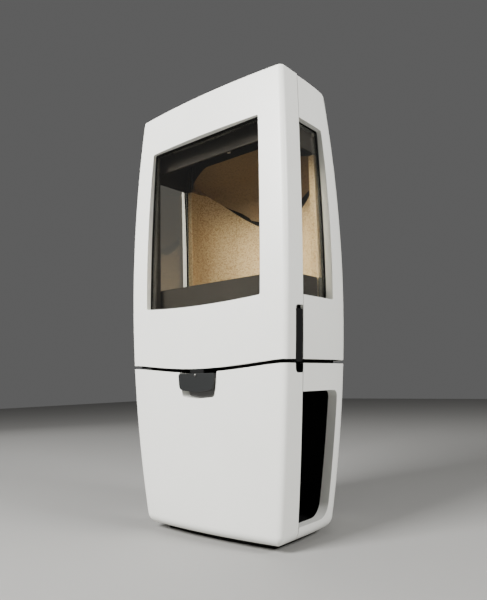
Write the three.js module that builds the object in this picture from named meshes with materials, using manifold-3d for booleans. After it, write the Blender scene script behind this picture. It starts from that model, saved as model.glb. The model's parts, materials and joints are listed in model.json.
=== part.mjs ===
// A free-standing wood stove in enamelled cast iron: a barrel-shaped body with glass on three sides,
// an open log store below the firebox, a full-height front door and an air lever under the door.
// Millimetres, +Z up. The front faces -Y, X = 0 is the plane of symmetry, Z = 0 is the floor.

import * as THREE from "three";
import { mergeVertices } from "three/addons/utils/BufferGeometryUtils.js";
import Module from "manifold-3d";

const wasm = await Module();
wasm.setup();

// ---------------------------------------------------------------- driving dimensions

const DOOR_TOP = 1000;
const SIDE_TOP = 997;
const SHELL_BOTTOM = 12;
const WALL = 8; // thickness of the castings

// The barrel: half width, front corner and rear corner all follow shallow parabolas up the height.
const WIDEST = { half: 234.4, z: 620, fallBelow: 1.24e-4, fallAbove: 0.96e-4 };
const FRONT = { y: -170.6, z: 430, lean: 8.2e-5, bow: 10.5, cornerRadius: 13 };
const REAR = { y: 51.5, z: 510, fallBelow: 0.9e-4, fallAbove: 1.2e-4, cornerRadius: 50, backY: 175 };
const SIDE_CURVE_RADIUS = 700;
const SIDE_CURVE_LENGTH = 79;
const REAR_TURN = THREE.MathUtils.degToRad(33);
const BACK_HALF_FACTOR = 0.38; // flat part of the back against the half width
const WRAP_DEPTH = 59; // the door and the lower front reach this far round the corner
const SEAM = 1.8; // open joint between front and side castings
const BACK_JOINT_X = 70; // side castings end here at the back
const AIR = 0.3; // space between pieces that touch
const FOOT = { roll: 22, floor: 44, throat: 20, core: 34 }; // how the shell turns under at its foot

// The shadow gap between the lower and the upper body, which dips at the middle of the front.
const GAP = { bottom: 365, top: 373, dip: 13, dipHalf: 215 };

// The window in the door, and the flat glass leaning behind it.
const WINDOW = { top: 895.6, bottom: 504, dip: 7, sideMargin: 62, radius: 4 };
const GLASS_FRONT = { yAtBottom: -161.5, yAtTop: -148, thickness: 4 };
// The side windows run from the seam to a rear edge that bows back at mid height.
const SIDE_WINDOW = { top: 892.3, bottom: 503.7, rear: 9.6, rearZ: 600, rearBow: 1.3e-4, radius: 4 };
const GLASS_SIDE = { outerX: 213.5, thickness: 4 };
// The log store opening in the lower sides.
const NICHE = { top: 308.5, bottom: 41, rearTop: 31, rearBottom: 15, topRadius: 17, bottomRadius: 30 };
const REVEAL = 22; // depth of the rim round the log store openings

const HINGE = { x: -203, y: -62, pinRadius: 4, eyeRadius: 18, armRadius: 14 };
const HANDLE = {
  front: -137.5,
  rear: -112.2,
  bottom: 367,
  top: 474,
  thickness: 10,
  pivotZ: 466,
  pinInset: 6,
};
const HANDLE_RECESS = { top: 482, depth: 15.5, wall: 6, radius: 10 };
const NOTCH = { topHalf: 62, bottomHalf: 47, bottom: 296, radius: 9, depth: 34, rim: 8, steep: 4 };
const PADDLE = { half: 53, top: 350, bottom: 311, frontY: -187, thickness: 4 };
const FLUE = { bore: 69, outer: 75, flange: 95, y: 40, top: 1022 };

// ---------------------------------------------------------------- finishes

const FINISH = {
  enamel: { color: 0xdfe0da, roughness: 0.35, metalness: 0 },
  castIron: { color: 0x3c3836, roughness: 0.75, metalness: 0.3 },
  blackSteel: { color: 0x171716, roughness: 0.7, metalness: 0.2 },
  greySteel: { color: 0x3c3f3e, roughness: 0.55, metalness: 0.5 },
  brightSteel: { color: 0x9a9a96, roughness: 0.35, metalness: 0.9 },
  vermiculite: { color: 0xbea07d, roughness: 0.95, metalness: 0 },
  rope: { color: 0x4b4946, roughness: 1, metalness: 0 },
  glass: { color: 0x9fa6a4, roughness: 0.05, metalness: 0, transparent: true, opacity: 0.3 },
};

// ---------------------------------------------------------------- solids from geometry

function solid(geometry) {
  const flat = geometry.index ? geometry.toNonIndexed() : geometry;
  flat.deleteAttribute("normal");
  flat.deleteAttribute("uv");
  const merged = mergeVertices(flat, 1e-4);
  const vertProperties = merged.attributes.position.array;
  const triVerts = new Uint32Array(merged.index.array);
  return new wasm.Manifold(new wasm.Mesh({ numProp: 3, vertProperties, triVerts }));
}

function geometryOf(manifold) {
  const mesh = manifold.getMesh();
  const geometry = new THREE.BufferGeometry();
  geometry.setAttribute("position", new THREE.BufferAttribute(new Float32Array(mesh.vertProperties), 3));
  geometry.setIndex(new THREE.BufferAttribute(new Uint32Array(mesh.triVerts), 1));
  return geometry;
}

// Closed loft through rings of equal point count, each ring counter-clockwise seen from its far end.
function loftGeometry(rings) {
  const count = rings[0].length;
  const positions = rings.flat().flatMap((p) => [p.x, p.y, p.z]);
  const index = [];
  for (let r = 0; r < rings.length - 1; r++) {
    for (let i = 0; i < count; i++) {
      const next = (i + 1) % count;
      const a = r * count + i;
      const b = r * count + next;
      index.push(a, b, b + count, a, b + count, a + count);
    }
  }
  const caps = [rings[0], rings[rings.length - 1]];
  caps.forEach((ring, end) => {
    const centre = ring.reduce((sum, p) => sum.add(p), new THREE.Vector3()).divideScalar(count);
    const hub = positions.length / 3;
    positions.push(centre.x, centre.y, centre.z);
    const first = end === 0 ? 0 : (rings.length - 1) * count;
    for (let i = 0; i < count; i++) {
      const a = first + i;
      const b = first + ((i + 1) % count);
      index.push(...(end === 0 ? [hub, b, a] : [hub, a, b]));
    }
  });
  const geometry = new THREE.BufferGeometry();
  geometry.setAttribute("position", new THREE.Float32BufferAttribute(positions, 3));
  geometry.setIndex(index);
  return geometry;
}

function box(x, y, z) {
  const geometry = new THREE.BoxGeometry(x[1] - x[0], y[1] - y[0], z[1] - z[0]);
  geometry.translate((x[0] + x[1]) / 2, (y[0] + y[1]) / 2, (z[0] + z[1]) / 2);
  return solid(geometry);
}

function extruded(shape, depth, curveSegments = 6) {
  return new THREE.ExtrudeGeometry(shape, { depth, bevelEnabled: false, curveSegments });
}

// Profile drawn in (y, z), swept along X.
function prismX(shape, x0, x1) {
  const turn = new THREE.Matrix4().set(0, 0, 1, x0, 1, 0, 0, 0, 0, 1, 0, 0, 0, 0, 0, 1);
  return solid(extruded(shape, x1 - x0).applyMatrix4(turn));
}

// Profile drawn in (x, z), swept along Y.
function prismY(shape, y0, y1) {
  const turn = new THREE.Matrix4().set(1, 0, 0, 0, 0, 0, -1, y1, 0, 1, 0, 0, 0, 0, 0, 1);
  return solid(extruded(shape, y1 - y0).applyMatrix4(turn));
}

// Profile drawn in (x, y), swept along Z.
function prismZ(shape, z0, z1) {
  return solid(extruded(shape, z1 - z0).translate(0, 0, z0));
}

function cylinderZ(radius, x, y, z0, z1, sides = 18) {
  const geometry = new THREE.CylinderGeometry(radius, radius, z1 - z0, sides);
  geometry.rotateX(Math.PI / 2);
  geometry.translate(x, y, (z0 + z1) / 2);
  return solid(geometry);
}

function cylinderY(radius, x, z, y0, y1, sides = 20) {
  const geometry = new THREE.CylinderGeometry(radius, radius, y1 - y0, sides);
  geometry.translate(x, (y0 + y1) / 2, z);
  return solid(geometry);
}

// Revolved about a vertical axis through (x, y); the profile is [radius, z], closed on itself.
function lathed(profile, x, y, sides = 36) {
  const points = profile.concat([profile[0]]).map(([r, z]) => new THREE.Vector2(r, z));
  const geometry = new THREE.LatheGeometry(points, sides);
  geometry.rotateX(Math.PI / 2);
  geometry.scale(1, -1, 1);
  const flipped = geometry.index.array;
  for (let i = 0; i < flipped.length; i += 3) {
    [flipped[i + 1], flipped[i + 2]] = [flipped[i + 2], flipped[i + 1]];
  }
  geometry.translate(x, y, 0);
  return solid(geometry);
}

function polygon(points) {
  return new THREE.Shape(points.map(([a, b]) => new THREE.Vector2(a, b)));
}

// Polygon whose corners are rounded, each corner [a, b, radius].
function roundedPolygon(corners, steps = 3) {
  const points = [];
  corners.forEach(([a, b, radius = 0], i) => {
    const before = corners[(i + corners.length - 1) % corners.length];
    const after = corners[(i + 1) % corners.length];
    const corner = new THREE.Vector2(a, b);
    if (!radius) {
      points.push(corner);
      return;
    }
    const toBefore = new THREE.Vector2(before[0] - a, before[1] - b).normalize();
    const toAfter = new THREE.Vector2(after[0] - a, after[1] - b).normalize();
    const halfAngle = Math.acos(THREE.MathUtils.clamp(toBefore.dot(toAfter), -1, 1)) / 2;
    const reach = radius / Math.tan(halfAngle);
    const start = corner.clone().addScaledVector(toBefore, reach);
    const end = corner.clone().addScaledVector(toAfter, reach);
    const curve = new THREE.QuadraticBezierCurve(start, corner, end);
    points.push(...curve.getPoints(steps));
  });
  return new THREE.Shape(points);
}

function rectangle(a0, a1, b0, b1, radius = 0, steps = 3) {
  const corners = [
    [a0, b0, radius],
    [a1, b0, radius],
    [a1, b1, radius],
    [a0, b1, radius],
  ];
  return roundedPolygon(corners, steps);
}

const slot = (a0, a1, b0, b1) => rectangle(a0, a1, b0, b1, Math.min(a1 - a0, b1 - b0) / 2 - 0.1, 1);

// ---------------------------------------------------------------- the barrel

const fall = (z, at, below, above) => (z < at ? below : above) * (z - at) ** 2;
const halfWidth = (z) => WIDEST.half - fall(z, WIDEST.z, WIDEST.fallBelow, WIDEST.fallAbove);
const frontCornerY = (z) => FRONT.y + FRONT.lean * (z - FRONT.z) ** 2;
const rearCornerY = (z) => REAR.y - fall(z, REAR.z, REAR.fallBelow, REAR.fallAbove);
const seamY = (z) => frontCornerY(z) + WRAP_DEPTH;
const gapDip = (x) => GAP.dip * Math.max(0, 1 - (x / GAP.dipHalf) ** 2) ** 1.5;
const glassY = (z) => {
  const share = (z - WINDOW.bottom) / (WINDOW.top - WINDOW.bottom);
  return THREE.MathUtils.lerp(GLASS_FRONT.yAtBottom, GLASS_FRONT.yAtTop, share);
};

function arcPoints(cx, cy, radius, from, to, steps) {
  return Array.from({ length: steps + 1 }, (_, i) => {
    const angle = from + ((to - from) * i) / steps;
    return new THREE.Vector2(cx + radius * Math.cos(angle), cy + radius * Math.sin(angle));
  });
}

// Right half of the plan at height z: bowed front, corner fillet, side, rear corner, flat back.
function rightHalfPlan(z, inset) {
  const half = halfWidth(z);
  const frontY = frontCornerY(z) + inset;
  const fillet = Math.max(FRONT.cornerRadius - inset, 3);
  const filletX = half - inset - fillet;
  const front = Array.from({ length: 6 }, (_, i) => {
    const share = i / 6;
    return new THREE.Vector2(filletX * share, frontY - FRONT.bow * (1 - share ** 2));
  });
  const corner = arcPoints(filletX, frontY + fillet, fillet, -Math.PI / 2, 0, 4);
  const curveStart = rearCornerY(z) - SIDE_CURVE_LENGTH;
  const turn = Math.asin(SIDE_CURVE_LENGTH / SIDE_CURVE_RADIUS);
  const side = arcPoints(half - SIDE_CURVE_RADIUS, curveStart, SIDE_CURVE_RADIUS - inset, 0, turn, 3);
  const reach = SIDE_CURVE_RADIUS - REAR.cornerRadius;
  const hubX = half - SIDE_CURVE_RADIUS + reach * Math.cos(turn);
  const hubY = curveStart + reach * Math.sin(turn);
  const rear = arcPoints(hubX, hubY, REAR.cornerRadius - inset, turn, REAR_TURN, 4).slice(1);
  const last = rear[rear.length - 1];
  const backY = REAR.backY - inset;
  const control = new THREE.Vector2(last.x - Math.tan(REAR_TURN) * (backY - last.y), backY);
  const flatEnd = new THREE.Vector2(half * BACK_HALF_FACTOR, backY);
  const back = new THREE.QuadraticBezierCurve(last, control, flatEnd).getPoints(7).slice(1);
  return [...front, ...corner, ...side, ...rear, ...back, new THREE.Vector2(0, backY)];
}

function planRing(z, inset) {
  const right = rightHalfPlan(z, inset);
  const left = right.slice(1, -1).reverse();
  const ring = right.concat(left.map((p) => new THREE.Vector2(-p.x, p.y)));
  return ring.map((p) => new THREE.Vector3(p.x, p.y, z));
}

// The barrel between two heights, drawn in by an inset, with rolled edges where asked.
function barrel({ inset = 0, from, to, rollBottom = 0, rollTop = 0 }) {
  const spacing = 95;
  const rollSteps = 4;
  const stations = [];
  for (let i = 0; i < rollSteps && rollBottom; i++) {
    const angle = (i / rollSteps) * (Math.PI / 2);
    stations.push([from + rollBottom * (1 - Math.cos(angle)), rollBottom * (1 - Math.sin(angle))]);
  }
  const low = from + rollBottom;
  const high = to - rollTop;
  const count = Math.max(1, Math.round((high - low) / spacing));
  for (let i = 0; i <= count; i++) stations.push([low + ((high - low) * i) / count, 0]);
  for (let i = 1; i <= 2 && rollTop; i++) {
    const angle = (i / 2) * (Math.PI / 2);
    stations.push([high + rollTop * Math.sin(angle), rollTop * (1 - Math.cos(angle))]);
  }
  return solid(loftGeometry(stations.map(([z, extra]) => planRing(z, inset + extra))));
}

const heights = (from, to, step = 80) => {
  const count = Math.ceil((to - from) / step);
  return Array.from({ length: count + 1 }, (_, i) => from + ((to - from) * i) / count);
};

// Everything in front of a surface y = yAt(z).
function inFrontOf(yAt, from = -20, to = 1060) {
  const edge = heights(from, to).map((z) => [yAt(z), z]);
  return prismX(polygon([[-400, from], ...edge, [-400, to]]), -400, 400);
}

// Everything above the shadow gap's upper edge, or below its lower one.
function aboveGap() {
  const curve = heights(-GAP.dipHalf, GAP.dipHalf, 18).map((x) => [x, GAP.top - gapDip(x)]);
  return prismY(polygon([[-400, GAP.top], ...curve, [400, GAP.top], [400, 1100], [-400, 1100]]), -400, 400);
}

function belowGap() {
  const curve = heights(-GAP.dipHalf, GAP.dipHalf, 18).map((x) => [-x, GAP.bottom - gapDip(x)]);
  return prismY(polygon([[-400, 0], [400, 0], [400, GAP.bottom], ...curve, [-400, GAP.bottom]]), -400, 400);
}

const mirrored = (manifold) => manifold.mirror([1, 0, 0]);

// ---------------------------------------------------------------- lower body

const lowerBody = () => barrel({ from: SHELL_BOTTOM, to: GAP.bottom + 5, rollBottom: FOOT.roll });

// The lower body as a shell that turns in at the foot and stays open in the middle.
function lowerShell() {
  const outer = lowerBody();
  const cavity = barrel({ inset: WALL, from: FOOT.floor, to: GAP.top + 27 });
  const throat = barrel({ inset: FOOT.throat, from: 30, to: FOOT.floor + 2 });
  const core = barrel({ inset: FOOT.core, from: 0, to: 32 });
  return outer.subtract(cavity.add(throat).add(core));
}

// The notch for the fingers at the air lever, drawn at the panel's face. Its walls go straight in and
// round over into the floor, so the outline shrinks along a superellipse with depth.
function notchOutline(grow = 0) {
  const top = GAP.top + 20;
  return [
    [-NOTCH.topHalf - grow, top],
    [-NOTCH.bottomHalf - grow, NOTCH.bottom + 4 - grow, NOTCH.radius],
    [0, NOTCH.bottom - grow, 90],
    [NOTCH.bottomHalf + grow, NOTCH.bottom + 4 - grow, NOTCH.radius],
    [NOTCH.topHalf + grow, top],
  ];
}

function notchScoop(faceY) {
  const outline = roundedPolygon(notchOutline(), 4).getPoints();
  const centre = new THREE.Vector2(0, GAP.bottom - GAP.dip);
  const steps = 6;
  const rings = [];
  for (let i = steps; i >= 0; i--) {
    const sunk = Math.sin((i / steps) * (Math.PI / 2) * 0.94);
    const scale = (1 - sunk ** NOTCH.steep) ** (1 / NOTCH.steep);
    const y = faceY + NOTCH.depth * sunk;
    rings.push(outline.map((p) => new THREE.Vector3(p.x * scale, y, centre.y + (p.y - centre.y) * scale)));
  }
  rings.push(outline.map((p) => new THREE.Vector3(p.x, faceY - 20, p.y)));
  return solid(loftGeometry(rings));
}

function notchBlock(grow, backY) {
  return prismY(roundedPolygon(notchOutline(grow), 4), -220, backY);
}

function lowerFrontPanel() {
  const faceY = notchFaceY();
  const backing = lowerBody()
    .intersect(notchBlock(NOTCH.rim, faceY + NOTCH.depth));
  const fingerSlot = prismX(
    roundedPolygon([
      [HANDLE.front, GAP.bottom + 20],
      [HANDLE.front + 2, 346, 10],
      [HANDLE.rear + 6, 346, 8],
      [HANDLE.rear + 6, GAP.bottom + 20],
    ]),
    150,
    300,
  );
  const flangeHalf = CONTROL_PLATE.flangeHalf + 1;
  const flangeSlot = box(
    [-flangeHalf, flangeHalf],
    [CONTROL_PLATE.frontY + 1, -100],
    [CONTROL_PLATE.flangeBottom - 1, 400],
  );
  return lowerShell()
    .add(backing)
    .intersect(inFrontOf(seamY))
    .intersect(belowGap())
    .subtract(notchScoop(faceY))
    .subtract(flangeSlot)
    .subtract(fingerSlot);
}

function nicheOutline(grow = 0) {
  return roundedPolygon([
    [-300, NICHE.bottom - grow],
    [NICHE.rearBottom + grow, NICHE.bottom - grow, NICHE.bottomRadius + grow],
    [NICHE.rearTop + grow, NICHE.top + grow, NICHE.topRadius + grow],
    [-300, NICHE.top + grow],
  ]);
}

function lowerSideRight() {
  const rim = lowerBody()
    .subtract(barrel({ inset: REVEAL, from: -10, to: 400 }))
    .intersect(prismX(nicheOutline(7), 0, 300));
  return lowerShell()
    .add(rim)
    .subtract(inFrontOf((z) => seamY(z) + SEAM))
    .intersect(box([BACK_JOINT_X, 300], [-300, 300], [0, GAP.bottom]))
    .subtract(prismX(nicheOutline(), 100, 300));
}

const COVER = { thickness: 3, sunk: 1, ventMargin: 26, ventPitch: 28, ventHalf: 4, ventRise: 12, vents: 4 };

// Sheet cover between the side castings at the back, with a row of air slots near each end.
function backCover(from, to) {
  const { thickness, sunk, ventMargin, ventPitch, ventHalf, ventRise, vents } = COVER;
  const half = BACK_JOINT_X - 0.5;
  const backY = REAR.backY - sunk;
  let cover = box([-half, half], [backY - thickness, backY], [from, to]);
  for (const z of [from + ventMargin, to - ventMargin]) {
    for (let i = 0; i < vents; i++) {
      const x = (i - (vents - 1) / 2) * ventPitch;
      const vent = slot(x - ventHalf, x + ventHalf, z - ventRise, z + ventRise);
      cover = cover.subtract(prismY(vent, backY - 20, backY + 20));
    }
  }
  return cover;
}

const LOG_BOX = { frontY: -117, rearY: 66, bottom: 32.3, top: 318, sheet: 4 };

// Sheet box of the log store, open to the left and to the right.
function logStoreLiner() {
  const { frontY, rearY, bottom, top, sheet } = LOG_BOX;
  const outer = prismX(rectangle(frontY, rearY, bottom, top, 6), -300, 300);
  const inner = prismX(rectangle(frontY + sheet, rearY - sheet, bottom + sheet, top - sheet, 4), -310, 310);
  return outer.intersect(barrel({ inset: REVEAL + 0.6, from: 20, to: 340 })).subtract(inner);
}

const BASE = { inset: 34.6, trayInset: 56, trayFloor: 12, top: 32 };

// Cast tray that the body stands on, with a rim under the log store.
function basePlate() {
  const tray = barrel({ inset: BASE.trayInset, from: BASE.trayFloor, to: BASE.top + 8 });
  return barrel({ inset: BASE.inset, from: 0, to: BASE.top }).subtract(tray);
}

const SUPPORT = { bottom: LOG_BOX.top + AIR, top: 338, rimInset: 50, floor: 7 };
const AIR_BOX = { bottom: SUPPORT.top + AIR, top: 388, inset: 22.5, rimInset: 62, roof: 8 };
const SLIDE_SLOT = { half: 54, rearY: -112, bottom: 351, top: 361 };

const notchFaceY = () => frontCornerY(GAP.bottom) - FRONT.bow;

// Room that the pieces behind the notch leave for it.
function notchClearance() {
  return notchBlock(NOTCH.rim + 1, notchFaceY() + NOTCH.depth + 1);
}

// Dished plate over the log store that carries the firebox.
function supportPlate() {
  return barrel({ inset: WALL + 0.4, from: SUPPORT.bottom, to: SUPPORT.top })
    .subtract(barrel({ inset: SUPPORT.rimInset, from: SUPPORT.bottom + SUPPORT.floor, to: SUPPORT.top + 5 }))
    .subtract(notchClearance());
}

// The dark neck in the shadow gap, which holds the air slide and the lower hinge pin.
function airBox() {
  const { bottom, top, inset, rimInset, roof } = AIR_BOX;
  const body = barrel({ inset, from: bottom, to: top })
    .subtract(barrel({ inset: rimInset, from: bottom - 5, to: top - roof }));
  const { half, rearY } = SLIDE_SLOT;
  const slideSlot = box([-half, half], [-300, rearY], [SLIDE_SLOT.bottom, SLIDE_SLOT.top]);
  const hingePocket = box([-240, HINGE.x + 18], [-200, HINGE.y + 18], [GAP.bottom - 0.6, GAP.top + 0.6]);
  return body
    .subtract(notchClearance())
    .subtract(recessClearance(5))
    .subtract(slideSlot)
    .subtract(hingePocket)
    .subtract(cylinderZ(HINGE.pinRadius + AIR, HINGE.x, HINGE.y, bottom, top + 30));
}

const AIR_BOX_FACE = -146;
const CONTROL_PLATE = {
  frontY: -169,
  backY: -166,
  half: 38,
  top: 350,
  bottom: 297.3,
  rise: 6.2,
  flangeHalf: 34,
  flangeBottom: 340,
};

// Dark plate at the back of the notch, round below like the notch, with a flange to the air box.
function airControlPlate() {
  const { frontY, backY, half, top, bottom, rise, flangeHalf, flangeBottom } = CONTROL_PLATE;
  const outline = roundedPolygon(
    [
      [-half, top, 3],
      [-half + 1, bottom + rise, 7],
      [0, bottom - 1.5, 110],
      [half - 1, bottom + rise, 7],
      [half, top, 3],
    ],
    5,
  );
  const plate = prismY(outline, frontY, backY);
  const flange = box([-flangeHalf, flangeHalf], [frontY + 1, AIR_BOX_FACE - AIR], [flangeBottom, top - 0.5]);
  return plate.add(flange);
}

// ---------------------------------------------------------------- air lever

const SLIDE_ARM = { half: 20, bottom: 353.4, top: 358.4, rearY: -118, tabBottom: 336, tabThickness: 3 };

// Flat arm through the shadow gap, with a tab turned down behind the finger plate.
function airSlideArm() {
  const { half, bottom, top, rearY, tabBottom, tabThickness } = SLIDE_ARM;
  const tabY = PADDLE.frontY + PADDLE.thickness + AIR;
  const arm = box([-half, half], [tabY, rearY], [bottom, top]);
  const tab = box([-half, half], [tabY, tabY + tabThickness], [tabBottom, top]);
  return arm.add(tab);
}

function airPaddle() {
  const { half, top, bottom, frontY, thickness } = PADDLE;
  const outline = roundedPolygon(
    [
      [-half, top, 5],
      [-half + 3, bottom + 4, 13],
      [0, bottom - 1, 70],
      [half - 3, bottom + 4, 13],
      [half, top, 5],
    ],
    5,
  );
  return prismY(outline, frontY, frontY + thickness);
}

const PADDLE_SCREW = { radius: 2.6, z: 346.6, head: 1.9 };

function airPaddleScrew() {
  const { radius, z, head } = PADDLE_SCREW;
  return cylinderY(radius, 0, z, PADDLE.frontY - AIR - head, PADDLE.frontY - AIR);
}

// ---------------------------------------------------------------- door

function doorWindow(grow = 0) {
  const side = heights(WINDOW.bottom, WINDOW.top, 66);
  const bottomCurve = heights(-1, 1, 0.25).slice(1, -1);
  const bottomHalf = halfWidth(WINDOW.bottom) - WINDOW.sideMargin + grow;
  const corners = [];
  for (const z of side) {
    const edgeZ = z === side[0] ? z - grow : z === side[side.length - 1] ? z + grow : z;
    const radius = edgeZ !== z || z === side[0] || z === side[side.length - 1] ? WINDOW.radius : 0;
    corners.push([halfWidth(z) - WINDOW.sideMargin + grow, edgeZ, radius]);
  }
  const left = corners.slice().reverse().map(([x, z, radius]) => [-x, z, radius]);
  const sag = bottomCurve.map((share) => [
    share * bottomHalf,
    WINDOW.bottom - grow - WINDOW.dip * (1 - share ** 2),
  ]);
  return roundedPolygon([...corners, ...left, ...sag], 3);
}

// Undercut of the door's edge on the hinge side, so that it swings clear of the side casting.
function hingeEdgeUndercut() {
  const rings = heights(340, 1010).map((z) => {
    const edgeX = -halfWidth(Math.min(z, DOOR_TOP));
    const edgeY = seamY(z);
    return [
      new THREE.Vector3(edgeX - 1, edgeY + 0.5, z),
      new THREE.Vector3(edgeX + 16, edgeY - 16, z),
      new THREE.Vector3(edgeX + 16, edgeY + 4, z),
    ];
  });
  return solid(loftGeometry(rings));
}

function recessOutline(grow = 0) {
  return roundedPolygon([
    [HANDLE.front - grow, 350],
    [-100, 350],
    [-100, HANDLE_RECESS.top + grow],
    [HANDLE.front - grow, HANDLE_RECESS.top + grow, HANDLE_RECESS.radius + grow],
  ]);
}

// Room that the parts behind the door leave for the back of the handle's recess.
function recessClearance(room = 2) {
  return prismX(recessOutline(HANDLE_RECESS.wall + room), 100, 300)
    .subtract(barrel({ inset: HANDLE_RECESS.depth + HANDLE_RECESS.wall + room, from: 300, to: 600 }));
}

const TOP_FLANGE = 7;
const LATCH_SLOT = { x: [190, 222], y: [-134, -126], z: [442, 472] };
const DOOR_LUG = { x: [-222, -207], y: [-152, -116], height: 9 }; // carries the lower hinge arm

function doorCasting() {
  const outer = barrel({ from: 340, to: DOOR_TOP, rollTop: 4 });
  const cavity = barrel({ inset: WALL, from: 300, to: DOOR_TOP - TOP_FLANGE });
  const front = inFrontOf(seamY);
  const windowRim = outer
    .intersect(prismY(doorWindow(WALL), -300, -100))
    .intersect(inFrontOf((z) => glassY(z)));
  const recessWall = outer
    .intersect(prismX(recessOutline(HANDLE_RECESS.wall), 100, 300))
    .subtract(barrel({ inset: HANDLE_RECESS.depth + HANDLE_RECESS.wall, from: 300, to: 600 }));
  const recess = prismX(recessOutline(), 100, 300)
    .subtract(barrel({ inset: HANDLE_RECESS.depth, from: 300, to: 600 }));
  const latchSlot = box(LATCH_SLOT.x, LATCH_SLOT.y, LATCH_SLOT.z);
  const lowerLug = outer.intersect(box(DOOR_LUG.x, DOOR_LUG.y, [GAP.top, GAP.top + DOOR_LUG.height]));
  return outer
    .subtract(cavity)
    .add(windowRim)
    .add(recessWall)
    .add(lowerLug)
    .intersect(front)
    .subtract(prismY(doorWindow(), -300, -100))
    .subtract(recess)
    .subtract(latchSlot)
    .subtract(hingeEdgeUndercut())
    .add(hingeEar())
    .subtract(cylinderZ(HINGE.pinRadius + 0.4, HINGE.x, HINGE.y, 980, 1010))
    .intersect(aboveGap());
}

// The top flange reaches back over the side casting in a round ear that turns on the upper pin.
function hingeEar() {
  const z0 = DOOR_TOP - TOP_FLANGE;
  const slab = barrel({ inset: 0.5, from: z0, to: DOOR_TOP, rollTop: 3 });
  const arm = box([-260, HINGE.x + HINGE.eyeRadius], [-140, HINGE.y], [z0 - 1, DOOR_TOP + 1]);
  const eye = cylinderZ(HINGE.eyeRadius, HINGE.x, HINGE.y, z0 - 1, DOOR_TOP + 1, 32);
  return slab.intersect(arm.add(eye));
}

// Slice of everything between two depths behind the plane of the front glass.
function slabBehindGlass(near, far) {
  return inFrontOf((z) => glassY(z) + far, 420, 960).subtract(inFrontOf((z) => glassY(z) + near, 400, 980));
}

const GLASS_HOLD = 6; // the glass reaches this far past the window
const GLASS_FRAME = { outer: 13, inner: -5, thickness: 4.4 };

function doorGlass() {
  const pane = prismY(doorWindow(GLASS_HOLD), -300, -100);
  return pane.intersect(slabBehindGlass(AIR, GLASS_FRONT.thickness + AIR));
}

function doorGlassFrame() {
  const near = GLASS_FRONT.thickness + 2 * AIR;
  const ring = prismY(doorWindow(GLASS_FRAME.outer), -300, -100)
    .subtract(prismY(doorWindow(GLASS_FRAME.inner), -310, -90));
  return ring.intersect(slabBehindGlass(near, near + GLASS_FRAME.thickness));
}

const ROPE = {
  frontY: -131,
  backY: -124.3,
  outerHalf: 200,
  innerHalf: 188,
  bottom: 475,
  top: 918,
  width: 11,
};
const INNER_FRAME = { half: 202, bottom: 473, top: 924, openHalf: 167, openBottom: 492, openTop: 902 };

// Cast frame behind the glass frame, flat at the back to carry the rope.
function doorInnerFrame() {
  const { half, bottom, top, openHalf, openBottom, openTop } = INNER_FRAME;
  const behindGlass = GLASS_FRONT.thickness + GLASS_FRAME.thickness + 3 * AIR;
  const glassSide = inFrontOf((z) => glassY(z) + behindGlass, 400, 980);
  return prismY(rectangle(-half, half, bottom, top, 10), -300, ROPE.frontY - AIR)
    .subtract(prismY(rectangle(-openHalf, openHalf, openBottom, openTop, 6), -310, -100))
    .subtract(glassSide);
}

function doorRope() {
  const { outerHalf, innerHalf, bottom, top, width } = ROPE;
  const outer = rectangle(-outerHalf, outerHalf, bottom, top, 12);
  const inner = rectangle(-innerHalf, innerHalf, bottom + width, top - width, 6);
  return prismY(outer, ROPE.frontY, ROPE.backY).subtract(prismY(inner, -200, -100));
}

const HINGE_ARM = { frontY: -150, padY: -118, rise: 1.5, thickness: 5 };

// Flat arm in the shadow gap, from the foot of the door to the lower pin.
function hingeArmLower() {
  const { frontY, padY, rise, thickness } = HINGE_ARM;
  const low = GAP.bottom + rise;
  const width = [HINGE.x - HINGE.armRadius + 1, HINGE.x + 9];
  return cylinderZ(HINGE.armRadius, HINGE.x, HINGE.y, low, low + thickness, 28)
    .add(box(width, [frontY, HINGE.y], [low, low + thickness]))
    .add(box(width, [frontY, padY], [low, GAP.top - AIR]))
    .subtract(cylinderZ(HINGE.pinRadius + 0.4, HINGE.x, HINGE.y, low - 15, low + 30));
}

function hingePinLower() {
  return cylinderZ(HINGE.pinRadius, HINGE.x, HINGE.y, 346, AIR_BOX.top);
}

function hingePinUpper() {
  const shank = cylinderZ(HINGE.pinRadius, HINGE.x, HINGE.y, 975, DOOR_TOP + 0.6);
  return shank.add(cylinderZ(HINGE.pinRadius + 3, HINGE.x, HINGE.y, DOOR_TOP + 0.4, DOOR_TOP + 3));
}

// ---------------------------------------------------------------- handle

function doorHandle() {
  const bar = prismX(
    roundedPolygon([
      [HANDLE.front + 0.8, HANDLE.bottom, 8],
      [HANDLE.rear, HANDLE.bottom, 6],
      [HANDLE.rear, HANDLE.top, 3],
      [HANDLE.front + 0.8, HANDLE.top, 6],
    ]),
    150,
    300,
  );
  const pinX = halfWidth(HANDLE.pivotZ) - HANDLE.pinInset;
  return bar
    .intersect(barrel({ from: 340, to: 500 }))
    .subtract(barrel({ inset: HANDLE.thickness, from: 330, to: 510 }))
    .subtract(cylinderY(2.8, pinX, HANDLE.pivotZ, -160, -100));
}

function handlePin() {
  const pinX = halfWidth(HANDLE.pivotZ) - HANDLE.pinInset;
  return cylinderY(2.4, pinX, HANDLE.pivotZ, HANDLE.front + AIR, HANDLE.rear);
}

const LATCH = { tip: 193, fingerEnd: 200, y: [-133, -127], fingerRear: -116, z: [457, 467] };

// Tongue from the handle through the recess wall, with a finger into the front frame.
function latchTongue() {
  const root = halfWidth(HANDLE.pivotZ) - HANDLE.thickness - 1.2;
  const bar = box([LATCH.tip, root], LATCH.y, LATCH.z);
  const finger = box([LATCH.tip, LATCH.fingerEnd], [LATCH.y[0], LATCH.fingerRear], LATCH.z);
  return bar.add(finger);
}

// ---------------------------------------------------------------- firebox

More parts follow.
